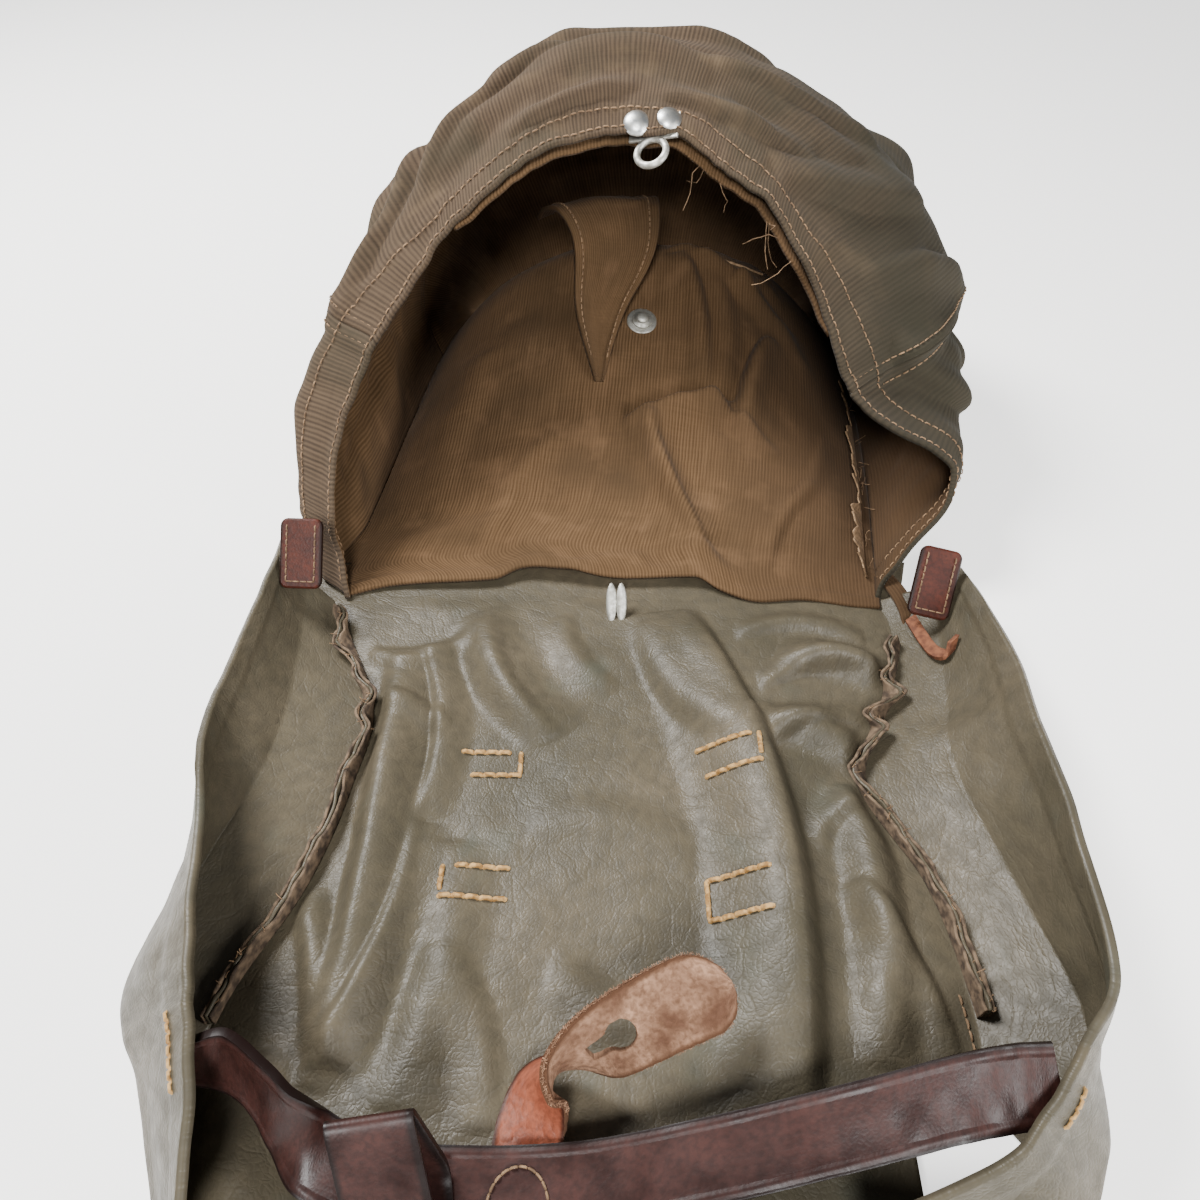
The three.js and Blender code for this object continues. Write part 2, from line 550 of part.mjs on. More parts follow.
function toSolid(geometry) {
  const bare = geometry.clone();
  bare.deleteAttribute('normal');
  bare.deleteAttribute('uv');
  const closed = mergeVertices(bare, 1e-4);
  return new wasm.Manifold(new wasm.Mesh({
    numProp: 3,
    vertProperties: new Float32Array(closed.attributes.position.array),
    triVerts: new Uint32Array(closed.index.array),
  }));
}

function toGeometry(solid) {
  const mesh = solid.getMesh();
  const geometry = new THREE.BufferGeometry();
  geometry.setAttribute('position', new THREE.BufferAttribute(mesh.vertProperties, 3));
  geometry.setIndex(new THREE.BufferAttribute(mesh.triVerts, 1));
  return geometry;
}

// Metal on the mouth's rim: an eye on a riveted plate, the plate between the two canvas layers
function makeEye() {
  const ring = new THREE.TorusGeometry(EYE_RADIUS, EYE_WIRE / 2, 8, 18).translate(0, -EYE_RADIUS, 0);
  const plate = new THREE.BoxGeometry(EYE_PLATE_WIDTH, EYE_PLATE_DEPTH, EYE_PLATE)
    .translate(0, EYE_PLATE_DEPTH / 2 - 0.5, 0);
  const under = -(CANVAS_HEM / 2 + GAP + EYE_WIRE / 2);
  const frame = frameOn(foldedArch, EYE_AROUND, 0, under);
  addPlaced('eye_plate', toGeometry(toSolid(ring).add(toSolid(plate))), zinc, frame);
  const dome = turned(RIVET_PROFILE, 14);
  for (const [side, name] of [[-1, 'rivet_left'], [1, 'rivet_right']]) {
    const around = EYE_AROUND + side * RIVET_SPACING / 2 / POUCH_GIRTH;
    const top = frameOn(foldedArch, around, RIVET_INSET / POUCH_DEPTH, CANVAS_HEM / 2 + GAP);
    addPlaced(name, dome, chrome, top);
  }
}

function makeStud() {
  const { u, v } = onBackWall(STUD_X, STUD_Y);
  const washerSeat = CANVAS / 2 + GAP;
  const washer = turned([[0, 0], [WASHER_RADIUS, 0], [WASHER_RADIUS, WASHER], [0, WASHER]], 16);
  addPlaced('snap_washer', washer, zinc, frameOn(backWall, u, v, washerSeat));
  addPlaced('snap_stud', turned(STUD_PROFILE, 14), zinc, frameOn(backWall, u, v, washerSeat + WASHER + GAP));
}

// The staple: one wire bent into a narrow loop that leans back against the canvas edge
function makeStaple() {
  const half = STAPLE_WIDTH / 2;
  const lean = (x, share) => new THREE.Vector3(
    STAPLE_X + x,
    lerp(STAPLE_FOOT_Y, STAPLE_TOP_Y, share),
    lerp(VINYL + STAPLE_WIRE / 2, STAPLE_TOP_Z, share),
  );
  const path = new THREE.CatmullRomCurve3([lean(-half, 0), lean(-half, 0.4), lean(-half, 0.8),
    lean(-half * 0.6, 0.97), lean(half * 0.6, 0.97), lean(half, 0.8), lean(half, 0.4), lean(half, 0)]);
  const wire = new THREE.Shape().absarc(0, 0, STAPLE_WIRE / 2, 0, Math.PI * 2);
  const bent = new THREE.ExtrudeGeometry(wire, { steps: 16, curveSegments: 4, extrudePath: path });
  addPiece('staple', bent, zinc);
}

// Leather tabs at the hinge corners, standing against the inner faces of the wings
function roundedPlate(width, length, thickness, corner) {
  const x = width / 2;
  const y = length / 2;
  const outline = new THREE.Shape();
  outline.absarc(x - corner, y - corner, corner, 0, Math.PI / 2);
  outline.absarc(corner - x, y - corner, corner, Math.PI / 2, Math.PI);
  outline.absarc(corner - x, corner - y, corner, Math.PI, Math.PI * 1.5);
  outline.absarc(x - corner, corner - y, corner, Math.PI * 1.5, Math.PI * 2);
  return new THREE.ExtrudeGeometry(outline, { depth: thickness, bevelEnabled: false, curveSegments: 3 });
}

function makeCornerTabs() {
  for (const tab of CORNER_TABS) {
    const plate = roundedPlate(CORNER_TAB_WIDTH, CORNER_TAB_LENGTH, CORNER_TAB, CORNER_ROUNDING);
    const mesh = addPiece(tab.name, plate.rotateZ(tab.lean), strapLeather);
    mesh.position.set(tab.x, tab.y, tab.z);
    mesh.rotation.x = tab.tilt;
  }
}

// A flat band along a route, with the direction of its width at each row
function band(rows, width) {
  return (u, v) => {
    const place = v * (rows.length - 1);
    const across = rowPoint(rows, place, 'across').normalize();
    return rowPoint(rows, place, 'mid').addScaledVector(across, (0.5 - u) * width);
  };
}

// The keeper: a leather loop of triangular section on top of the strap, leaning back
function roundedTriangle(corners, rounding, path) {
  corners.forEach((corner, k) => {
    const before = corners[(k + 2) % 3];
    const after = corners[(k + 1) % 3];
    const into = corner.clone().add(before.clone().sub(corner).setLength(rounding));
    const outOf = corner.clone().add(after.clone().sub(corner).setLength(rounding));
    if (k === 0) path.moveTo(into.x, into.y); else path.lineTo(into.x, into.y);
    path.quadraticCurveTo(corner.x, corner.y, outOf.x, outOf.y);
  });
  path.closePath();
  return path;
}

function makeKeeper() {
  const corners = KEEPER_CORNERS.map(([y, z]) => new THREE.Vector2(y, z));
  const sides = corners.map((corner, k) => corners[(k + 1) % 3].distanceTo(corners[(k + 2) % 3]));
  const girth = sides[0] + sides[1] + sides[2];
  const centre = new THREE.Vector2();
  corners.forEach((corner, k) => centre.addScaledVector(corner, sides[k] / girth));
  const inner = corners.map((corner) => corner.clone().lerp(centre, KEEPER_LEATHER / centre.y));
  const section = roundedTriangle(corners, KEEPER_ROUNDING, new THREE.Shape());
  section.holes.push(roundedTriangle(inner, KEEPER_ROUNDING - KEEPER_LEATHER, new THREE.Path()));
  const options = { depth: KEEPER_WIDTH, bevelEnabled: false, curveSegments: 4 };
  const loop = new THREE.ExtrudeGeometry(section, options).translate(0, 0, -KEEPER_WIDTH / 2);
  loop.rotateX(Math.PI / 2).rotateZ(Math.PI / 2 + degToRad(KEEPER_YAW));
  loop.applyMatrix4(new THREE.Matrix4().makeShear(0, 0, 0, 0, KEEPER_LEAN, 0));
  const strap = band(STRAP, STRAP_WIDTH);
  const middle = strap(0.5, KEEPER_PLACE);
  const ahead = strap(0.5, KEEPER_PLACE + 1e-3).sub(middle).normalize();
  const rear = strap(0, KEEPER_PLACE).sub(middle).normalize();
  const up = new THREE.Vector3().crossVectors(ahead, rear).normalize();
  const above = STRAP_LEATHER / 2 + 2 * GAP;
  const frame = new THREE.Matrix4().makeBasis(ahead, up.clone().cross(ahead), up);
  frame.setPosition(middle.addScaledVector(up, above));
  addPlaced('keeper_loop', loop, strapLeather, frame);
}

// The closure tab: a band with a round tip and a keyhole slot
function tabSurface(u, v) {
  const last = TAB.length - 1;
  const middle = rowPoint(TAB, v * last, 'mid');
  const across = rowPoint(TAB, v * last, 'across').normalize();
  const toTip = clamp(middle.distanceTo(rowPoint(TAB, last, 'mid')) / TAB_HALF, TAB_TIP, 1);
  const half = lerp(TAB_ROOT_HALF, TAB_HALF, smoothstep(v * last, 0, TAB_FLARE));
  return middle.addScaledVector(across, (1 - 2 * u) * half * Math.sqrt(1 - (1 - toTip) ** 2));
}

function makeClosureTab() {
  const keyhole = new THREE.Shape();
  const opening = Math.asin(SLIT_HALF / KEYHOLE_RADIUS);
  keyhole.absarc(0, 0, KEYHOLE_RADIUS, opening - Math.PI / 2, Math.PI * 1.5 - opening);
  keyhole.lineTo(-SLIT_HALF, -SLIT_LENGTH);
  keyhole.lineTo(SLIT_HALF, -SLIT_LENGTH);
  const depth = 4 * TAB_LEATHER;
  const cutter = new THREE.ExtrudeGeometry(keyhole, { depth, bevelEnabled: false, curveSegments: 8 });
  const place = KEYHOLE_PLACE / (TAB.length - 1);
  cutter.translate(0, 0, -depth / 2).applyMatrix4(frameOn(tabSurface, 0.5, place, 0));
  const strip = toSolid(wall(tabSurface, TAB_LEATHER, 5, 26));
  addPiece('closure_tab', toGeometry(strip.subtract(toSolid(cutter))), tabLeather);
}

makePouch();
makeEye();
makeStud();
makeLid();
makeStaple();
makeCornerTabs();
addPiece('hook', wall(band(HOOK, HOOK_WIDTH), HOOK_IRON, 1, 14), rust);
addPiece('cross_strap', wall(band(STRAP, STRAP_WIDTH), STRAP_LEATHER, 2, 40), strapLeather);
makeKeeper();
makeClosureTab();

export default bag;
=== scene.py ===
# %% [markdown]
# # A bread bag lying open
# The bag lies on its back. Its pouch is brown cotton canvas and arches up behind a hinge seam. Its
# lid is grained vinyl cloth, opened towards us, with a leather strap across the free end.
# We start from the solid model of the bag, which says where every piece is. Each piece is then made
# again in its place with finer folds, hems and stitches, and the plain solid is hidden.

# %% Load the solid model
import math
import bmesh
import bpy
import numpy as np
from mathutils import Matrix, Vector


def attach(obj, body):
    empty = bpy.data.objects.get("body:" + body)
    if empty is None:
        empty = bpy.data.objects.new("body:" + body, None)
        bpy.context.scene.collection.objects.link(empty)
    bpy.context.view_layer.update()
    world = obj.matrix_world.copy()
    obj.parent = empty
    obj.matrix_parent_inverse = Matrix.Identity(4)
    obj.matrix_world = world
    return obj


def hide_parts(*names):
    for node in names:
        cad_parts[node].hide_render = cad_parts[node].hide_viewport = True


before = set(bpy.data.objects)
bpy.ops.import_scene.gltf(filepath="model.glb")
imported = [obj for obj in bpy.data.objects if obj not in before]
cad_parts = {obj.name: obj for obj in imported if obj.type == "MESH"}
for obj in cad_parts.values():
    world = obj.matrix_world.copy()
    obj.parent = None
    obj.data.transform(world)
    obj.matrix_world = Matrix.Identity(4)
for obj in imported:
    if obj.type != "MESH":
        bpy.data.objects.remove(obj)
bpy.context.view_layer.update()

# %% [markdown]
# ## Cloth from short tables
# A cloth surface has no simple shape, but a few sections describe it well. Each table below holds
# some sections in millimetres, and `curve` draws a smooth line through one of its columns. The
# arch of the pouch, the hump of its back wall and the wings of the lid are all drawn this way.

# %% A table and the curve through one column
MM = 0.001


def table(names, *rows):
    return dict(zip(names.split(), np.array(rows, float).T))


def curve(rows, name, place):
    at, value = rows["at"], rows[name]
    place = np.clip(place, at[0], at[-1])
    k = np.clip(np.searchsorted(at, place) - 1, 0, len(at) - 2)
    inner = (value[2:] - value[:-2]) / (at[2:] - at[:-2])
    first = (value[1] - value[0]) / (at[1] - at[0])
    last = (value[-1] - value[-2]) / (at[-1] - at[-2])
    slope = np.concatenate([[first], inner, [last]])
    span = at[k + 1] - at[k]
    t = (place - at[k]) / span
    start = (2 * t**3 - 3 * t**2 + 1) * value[k] + (t**3 - 2 * t**2 + t) * slope[k] * span
    return start + (3 * t**2 - 2 * t**3) * value[k + 1] + (t**3 - t**2) * slope[k + 1] * span


def lerp(a, b, t):
    return a + (b - a) * t


def smoothstep(value, low, high):
    t = np.clip((value - low) / (high - low), 0, 1)
    return t * t * (3 - 2 * t)


ARCHES = table(
    "at foot_y crown_x crown_y crown_z square",
    (0.0, 1.5, 14, 150, 182, 2.0),
    (0.18, 44, 16, 186, 202, 2.2),
    (0.38, 100, 18, 222, 206, 2.4),
    (0.58, 170, 20, 262, 188, 2.5),
    (0.76, 230, 22, 294, 140, 2.3),
    (0.9, 275, 24, 314, 68, 2.0),
    (1.0, 298, 24, 320, 5, 2.0),
)
ARCH_SIDES = table(
    "at left_foot left_swell right_foot right_swell top ear",
    (0.0, -140, 24, 147, -4, 0.72, 46),
    (0.18, -136, 15, 153, 36, 0.9, 18),
    (0.38, -129, 11, 160, 53, 1.0, 0),
    (0.58, -121, 15, 166, 36, 1.0, 0),
    (0.76, -113, 18, 166, 22, 1.0, 0),
    (0.9, -104, 10, 156, 10, 1.0, 0),
    (1.0, -95, 2, 147, 2, 1.0, 0),
)
print("the arch is", curve(ARCHES, "crown_z", np.array([0.38]))[0], "mm high at its crown")

# %% [markdown]
# ## Folds and crumples
# A fold is a hump along a line on the flat cloth that fades out at both ends. A crumple is a field
# of small random hills, which keeps large panels from looking pressed. Both are only heights, so
# the same two functions serve the canvas and the vinyl. The random numbers have fixed seeds.

# %% Heights of folds and crumples
FOLD_COLUMNS = "from_x from_y to_x to_y bow height left right"


def fold_height(folds, x, y):
    total = np.zeros(x.shape)
    for from_x, from_y, to_x, to_y, bow, height, left, right in zip(*folds.values()):
        run_x, run_y = to_x - from_x, to_y - from_y
        length = math.hypot(run_x, run_y)
        along = ((x - from_x) * run_x + (y - from_y) * run_y) / length**2
        ends = np.sin(np.pi * np.clip(along, 0, 1))
        aside = ((y - from_y) * run_x - (x - from_x) * run_y) / length - bow * ends
        reach = np.clip(np.abs(aside) / np.where(aside > 0, left, right), 0, 1)
        total += height * np.sqrt(np.abs(ends)) * 0.5 * (1 + np.cos(np.pi * reach))
    return total


def crumple(x, y, size, seed):
    hills = np.random.default_rng(seed).uniform(-1, 1, (64, 64))
    i, j = np.floor(x / size).astype(int), np.floor(y / size).astype(int)
    s, t = smoothstep(x / size - i, 0, 1), smoothstep(y / size - j, 0, 1)
    low = lerp(hills[i % 64, j % 64], hills[(i + 1) % 64, j % 64], s)
    high = lerp(hills[i % 64, (j + 1) % 64], hills[(i + 1) % 64, (j + 1) % 64], s)
    return lerp(low, high, t)


ROOF_FOLDS = table(
    FOLD_COLUMNS,
    (180, -30, 205, -170, 8, 9, 18, 18),
    (-130, -38, 40, -60, -14, 6, 18, 22),
    (-70, -92, 110, -74, 12, 7, 18, 24),
    (-205, -10, -196, -140, 6, 7, 20, 22),
    (-165, -70, -130, -150, 6, 9, 18, 20),
    (-120, -205, 130, -195, 16, 9, 22, 26),
    (120, -120, 165, -210, -8, 8, 18, 24),
)
ROOF_CREASES = table(
    FOLD_COLUMNS,
    (-158, -20, -112, -104, 9, 7.0, 6, 18),
    (-110, -46, -26, -88, -8, 5.5, 7, 20),
    (-66, -30, 4, -38, 5, 4.0, 6, 14),
    (16, -32, 100, -56, 9, 6.0, 6, 18),
    (92, -24, 138, -98, 7, 7.0, 6, 20),
    (146, -30, 178, -120, -5, 6.0, 14, 6),
    (176, -30, 218, -84, 5, 5.5, 5, 14),
    (40, -70, 110, -112, 6, 4.5, 8, 18),
    (-60, -130, 60, -142, 8, 5.0, 10, 18),
    (-150, -170, -60, -236, 6, 5.0, 8, 16),
    (70, -160, 150, -226, -7, 5.0, 16, 8),
    (200, -90, 236, -186, 6, 5.0, 7, 14),
    (-236, -60, -214, -190, 5, 5.0, 8, 14),
    (185, -2, 188, -200, 0, -8.0, 40, 4),
)
BACK_FOLDS = table(
    FOLD_COLUMNS,
    (70, 10, 24, 112, 9, 9, 20, 9),
    (72, 126, 62, 222, -4, 8, 10, 16),
    (86, 100, 118, 190, 6, 8, 10, 18),
    (46, 232, 132, 160, 6, 7, 10, 14),
    (-96, 60, -70, 170, 8, 5, 18, 22),
)
BACK_CREASES = table(
    FOLD_COLUMNS,
    (14, 100, 82, 120, 5, 8.0, 7, 18),
    (28, 104, 58, 36, -6, 7.0, 14, 8),
    (50, 220, 60, 128, 5, 8.0, 7, 13),
    (102, 168, 82, 98, -4, 8.0, 13, 7),
    (58, 130, 102, 92, -4, 6.0, 7, 13),
    (80, 196, 112, 214, 4, 6.0, 7, 11),
    (-60, 24, -24, 100, 8, 2.6, 12, 9),
    (-122, 36, -50, 44, 4, 2.6, 10, 10),
    (88, 18, 124, 80, 5, 5.0, 9, 5),
    (-30, 12, 26, 26, 3, 2.8, 8, 10),
    (106, 60, 134, 120, -4, 4.0, 5, 10),
    (14, 109, 82, 129, 5, -4.5, 12, 6),
    (19, 102, 49, 34, -6, -4.0, 6, 12),
    (59, 220, 69, 128, 5, -4.5, 12, 6),
    (93, 168, 73, 98, -4, -4.5, 6, 12),
)
print("roof folds:", len(ROOF_FOLDS["height"]), "large,", len(ROOF_CREASES["height"]), "small")

# %% [markdown]
# ## The arch of the pouch
# The mouth of the pouch stands open like a hood. Its front panel and both side gussets are parts
# of one arch, so one function draws them all: `around` runs from the left foot over the crown to
# the right foot, and `at` from the mouth to the bottom. Folds push the cloth outwards. Two layers
# overlap where panels are sewn together, which shows as a low ridge, so the ridge is added here.
# On the left the hem is turned in, like a lip.

# %% The arch, its folds and its seams
CANVAS = 1.4
CANVAS_HEM = 2.8
VINYL = 1.6
GAP = 0.35
DEPTH = 300
GIRTH = 520
HEM_WIDTH = 22
LEFT_SEAM, RIGHT_SEAM, BOTTOM_SEAM = 0.19, 0.85, 0.8
FOOT = 0.0015
EAR_RISE, EAR_ABOVE, EAR_BELOW = 0.29, 0.17, 0.29
RIDGE_HALF, RIDGE = 5.5, 1.3
LIP, LIP_DEPTH, LIP_TOP = 20, 0.085, 0.75
LIP_SWELL, LIP_FADE = 9, 0.26
LIP_FOOT, FOOT_IN, FOOT_OUT = 0.3, 7, 11
EDGE_WAVE, EDGE_DEPTH = 4.5, 0.16
ROOF_CREASING = 1.35


def canvas_base(y):
    return lerp(VINYL + GAP, 0, smoothstep(y, 14, 34))


def arch(around, at):
    turn = np.pi * (1 - np.clip(around, 0, 1))
    rise = np.sin(turn)
    square = curve(ARCHES, "square", at)
    spread = np.maximum(1 - rise**square, 0) ** (1 / square)
    left = turn > np.pi / 2
    foot = np.where(left, curve(ARCH_SIDES, "left_foot", at), curve(ARCH_SIDES, "right_foot", at))
    swell = np.where(left, -curve(ARCH_SIDES, "left_swell", at), curve(ARCH_SIDES, "right_swell", at))
    bulge = np.sin(np.pi * np.clip(rise / curve(ARCH_SIDES, "top", at), 0, 1))
    ear_span = np.where(rise > EAR_RISE, EAR_ABOVE, EAR_BELOW)
    reach = np.clip(np.abs(rise - EAR_RISE) / ear_span, 0, 1)
    ear = np.where(left, 0, curve(ARCH_SIDES, "ear", at) * np.cos(reach * np.pi / 2) ** 2)
    foot_y = curve(ARCHES, "foot_y", at)
    behind, faded = smoothstep(at, 0, LIP_DEPTH), smoothstep(at, LIP_DEPTH, LIP_FADE)
    belly = np.sin(np.pi * np.clip(rise / LIP_TOP, 0, 1))
    low = np.clip(1 - rise / LIP_FOOT, 0, 1)
    turned_in = (LIP * belly + FOOT_IN * low) * (1 - behind)
    swollen = (LIP_SWELL * belly + FOOT_OUT * low) * (behind - faded)
    lip = np.where(left, turned_in - swollen, 0)
    x = lerp(curve(ARCHES, "crown_x", at), foot, spread) + swell * bulge + ear + lip
    y = lerp(foot_y, curve(ARCHES, "crown_y", at), rise)
    z = canvas_base(foot_y) + CANVAS / 2 + rise * curve(ARCHES, "crown_z", at)
    return np.stack([x, y, z], 1)


def normal_at(surface, u, v):
    step = 1e-3
    across = surface(u + step, v) - surface(u - step, v)
    along = surface(u, v + step) - surface(u, v - step)
    normal = np.cross(across, along)
    return normal / np.maximum(np.linalg.norm(normal, axis=1, keepdims=True), 1e-12)


def seam_ridge(distance):
    return RIDGE * smoothstep(RIDGE_HALF + 1 - np.abs(distance), 0, 1.5)


def folded_arch(around, at):
    x, y = (around - 0.5) * GIRTH, -at * DEPTH
    fade = smoothstep(np.minimum(around, 1 - around), 0, 0.05) * smoothstep(1 - at, 0, 0.08)
    relief = fold_height(ROOF_FOLDS, x, y) + ROOF_CREASING * fold_height(ROOF_CREASES, x, y)
    relief += fade * (2.6 * crumple(x, y, 31, 3) + 1.2 * crumple(x, y, 13, 5))
    pucker = np.sin(x / 2.4 + 3 * crumple(x, y, 24, 9)) * smoothstep(HEM_WIDTH + 9 + y, 0, 8)
    relief += fade * 0.35 * pucker
    for seam in (LEFT_SEAM, RIGHT_SEAM):
        relief += fade * seam_ridge((around - seam) * GIRTH)
    relief += fade * seam_ridge((at - BOTTOM_SEAM) * DEPTH)
    out = normal_at(arch, np.clip(around, 0.01, 0.99), np.clip(at, 0.01, 0.99))
    points = arch(around, at) + out * relief[:, None]
    edge = fade * (1 - smoothstep(at, 0, EDGE_DEPTH))
    points[:, 1] += EDGE_WAVE * edge * (crumple(x, 0 * x, 37, 13) + 0.5 * crumple(x, 0 * x, 15, 15))
    points[:, 2] = np.maximum(points[:, 2], CANVAS / 2)
    return points


def arch_panel(from_around, to_around, from_at, to_at):
    return lambda u, v: folded_arch(lerp(from_around, to_around, u), lerp(from_at, to_at, v))


middle = np.array([0.5])
print("the crown of the mouth is at", folded_arch(middle, np.array([0.0])).round(1)[0], "mm")

# %% [markdown]
# ## Brown cotton canvas
# Old canvas is dull. Its outside has faded to a greyer, greener brown and the inside has kept a warm
# brown. Thick and thin threads make faint streaks and handling leaves paler patches. Painted shade
# darkens the right side. Fine ribs run along the cloth. They are really half a millimetre apart, too fine
# for this picture, so they are drawn almost four times as coarse. Every panel carries its own flat layout
# in metres, so the ribs keep their size and run with the cloth.

# %% Colours, one node helper and the canvas
def linear(code):
    parts = [int(code[k:k + 2], 16) / 255 for k in (1, 3, 5)]
    return [c / 12.92 if c <= 0.04045 else ((c + 0.055) / 1.055) ** 2.4 for c in parts] + [1.0]


def add(tree, kind, out=0, inputs=None, **settings):
    made = tree.nodes.new("ShaderNode" + kind)
    for name, value in settings.items():
        setattr(made, name, value)
    for key, value in (inputs or {}).items():
        if isinstance(value, bpy.types.NodeSocket):
            tree.links.new(value, made.inputs[key])
        else:
            made.inputs[key].default_value = value
    return made.outputs[out]


def new_material(name, sockets):
    made = bpy.data.materials.new(name)
    made.use_nodes = True
    shader = made.node_tree.nodes["Principled BSDF"]
    for key, value in sockets.items():
        shader.inputs[key].default_value = value
    return made, made.node_tree, shader


COLOUR = {"data_type": "RGBA"}
WEAVE = 0.0019
# At a scale of 1, one band of a wave texture is this wide
WAVE_BAND = math.pi / 10


def canvas_finish(name, dark, light, patch_colour, pale, painted_shade_colour):
    dull = {"Roughness": 0.95, "Sheen Weight": 0.02, "Specular IOR Level": 0.12}
    made, tree, shader = new_material(name, dull)
    place = add(tree, "UVMap", uv_map="flat")
    warp_place = add(tree, "Mapping", 0, {"Vector": place, "Scale": (1100, 30, 1)})
    weft_place = add(tree, "Mapping", 0, {"Vector": place, "Scale": (30, 1100, 1)})
    warp = add(tree, "TexNoise", 0, {"Vector": warp_place, "Scale": 1.0, "Detail": 3.0})
    weft = add(tree, "TexNoise", 0, {"Vector": weft_place, "Scale": 1.0, "Detail": 3.0})
    streaks = add(tree, "Mix", 0, {0: 0.3, 2: warp, 3: weft})
    ribs = {"Vector": place, "Scale": WAVE_BAND / WEAVE, "Distortion": 1.2, "Detail": 2.0}
    rib = add(tree, "TexWave", 1, ribs, bands_direction="X")
    height = add(tree, "Mix", 0, {0: 0.7, 2: rib, 3: streaks})
    share = add(tree, "MapRange", 0, {0: height, 1: 0.25, 2: 0.75})
    thread = add(tree, "Mix", 2, {0: share, 6: linear(dark), 7: linear(light)}, **COLOUR)
    patch = add(tree, "TexNoise", 0, {"Vector": place, "Scale": 15.0, "Detail": 5.0})
    patch_share = add(tree, "MapRange", 0, {0: patch, 1: 0.45, 2: 0.7, 3: 0.0, 4: 0.7})
    patched = add(tree, "Mix", 2, {0: patch_share, 6: thread, 7: linear(patch_colour)}, **COLOUR)
    worn = add(tree, "TexNoise", 0, {"Vector": place, "Scale": 42.0, "Detail": 6.0})
    worn_share = add(tree, "MapRange", 0, {0: worn, 1: 0.55, 2: 0.8, 3: 0.0, 4: 0.5})
    paler = add(tree, "Mix", 2, {0: worn_share, 6: patched, 7: linear(pale)}, **COLOUR)
    # Painted shade: the colour darkens towards the right of the bag, from x = 50 mm to 160 mm
    side = add(tree, "SeparateXYZ", "X", {0: add(tree, "TexCoord", "Object")})
    painted_right_shade = add(tree, "MapRange", 0, {0: side, 1: 0.05, 2: 0.16, 3: 0.0, 4: 0.8})
    shaded = add(tree, "Mix", 2, {0: painted_right_shade, 6: paler, 7: linear(painted_shade_colour)}, **COLOUR)
    tree.links.new(shaded, shader.inputs["Base Color"])
    relief = add(tree, "Bump", 0, {"Height": height, "Distance": 0.5 * MM, "Strength": 0.85})
    tree.links.new(relief, shader.inputs["Normal"])
    return made


# The last colour in each call is the painted shade on the right side
canvas = canvas_finish("faded brown canvas", "#3a3027", "#5a4b3c", "#39362b", "#6b5a45", "#2a2921")
lining = canvas_finish("warm brown canvas", "#44321f", "#675039", "#3f3121", "#785d44", "#3e2e1f")
print("made", canvas.name, "and", lining.name)

# %% [markdown]
# ## The canvas panels
# Each panel is a flat grid laid over its surface, one vertex at a time, and then thickened. Real
# hems are the cloth turned in twice, so a vertex group makes the hem twice as thick as the rest.
# We keep a sheet of cloth as one grid because its flat layout then comes for free.

# %% One sheet of cloth, and the front, sides and bottom
def keep(name, mesh, finish, slot, *nodes):
    piece = bpy.data.objects.new(name, mesh)
    bpy.context.scene.collection.objects.link(piece)
    mesh.materials.append(finish)
    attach(piece, "root")
    if nodes:
        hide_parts(*nodes)
    return piece


def as_mesh(shape, name):
    mesh = bpy.data.meshes.new(name)
    shape.to_mesh(mesh)
    shape.free()
    return mesh


def grid_mesh(name, surface, steps, flat):
    shape = bmesh.new()
    bmesh.ops.create_grid(shape, x_segments=steps[0], y_segments=steps[1], size=0.5)
    mesh = as_mesh(shape, name)
    square = np.empty(len(mesh.vertices) * 3)
    mesh.vertices.foreach_get("co", square)
    u, v = square.reshape(-1, 3)[:, :2].T + 0.5
    mesh.vertices.foreach_set("co", (surface(u, v) * MM).ravel())
    corners = np.empty(len(mesh.loops), int)
    mesh.loops.foreach_get("vertex_index", corners)
    layout = np.stack([u[corners] * flat[0], v[corners] * flat[1]], 1)
    mesh.uv_layers.new(name="flat").data.foreach_set("uv", layout.ravel())
    mesh.shade_smooth()
    return mesh, u, v


def thicken(piece, thickness, rounding=0.0):
    wall = piece.modifiers.new("thickness", "SOLIDIFY")
    wall.thickness = thickness * MM
    wall.offset = 0
    if rounding:
        edge = piece.modifiers.new("rounded edges", "BEVEL")
        edge.width = rounding * MM
        edge.segments = 2
        edge.limit_method = "ANGLE"
        edge.angle_limit = math.radians(50)
    return wall


def cloth(name, surface, steps, flat, finish, slot, nodes, thickness, hem=None,
          inside=None):
    mesh, u, v = grid_mesh(name, surface, steps, flat)
    piece = keep(name, mesh, finish, slot, *nodes)
    wall = thicken(piece, thickness)
    if inside:
        mesh.materials.append(inside)
        wall.material_offset = 1
    if hem:
        group = piece.vertex_groups.new(name="hem")
        group.add(np.flatnonzero(hem(u, v)).tolist(), 1.0, "REPLACE")
        wall.thickness = 2 * thickness * MM
        wall.vertex_group = "hem"
        wall.thickness_vertex_group = 0.5
    print(name, "has", len(mesh.polygons), "faces in one layer")
    return piece


def mouth_hem(u, v):
    return v * BOTTOM_SEAM * DEPTH < HEM_WIDTH


cloth("canvas_front", arch_panel(LEFT_SEAM, RIGHT_SEAM, 0, BOTTOM_SEAM), (176, 124), (0.345, 0.265),
      canvas, "canvas", ["pouch_front"], CANVAS, mouth_hem, inside=lining)
cloth("canvas_left", arch_panel(FOOT, LEFT_SEAM, 0, BOTTOM_SEAM), (56, 124), (0.11, 0.26),
      canvas, "canvas", ["gusset_left"], CANVAS, mouth_hem, inside=lining)
cloth("canvas_right", arch_panel(RIGHT_SEAM, 1 - FOOT, 0, BOTTOM_SEAM), (64, 124), (0.1, 0.26),
      canvas, "canvas", ["gusset_right"], CANVAS, mouth_hem, inside=lining)
cloth("canvas_bottom", arch_panel(FOOT, 1 - FOOT, BOTTOM_SEAM, 1), (220, 36), (0.43, 0.081),
      canvas, "canvas", ["pouch_bottom"], CANVAS, inside=lining)

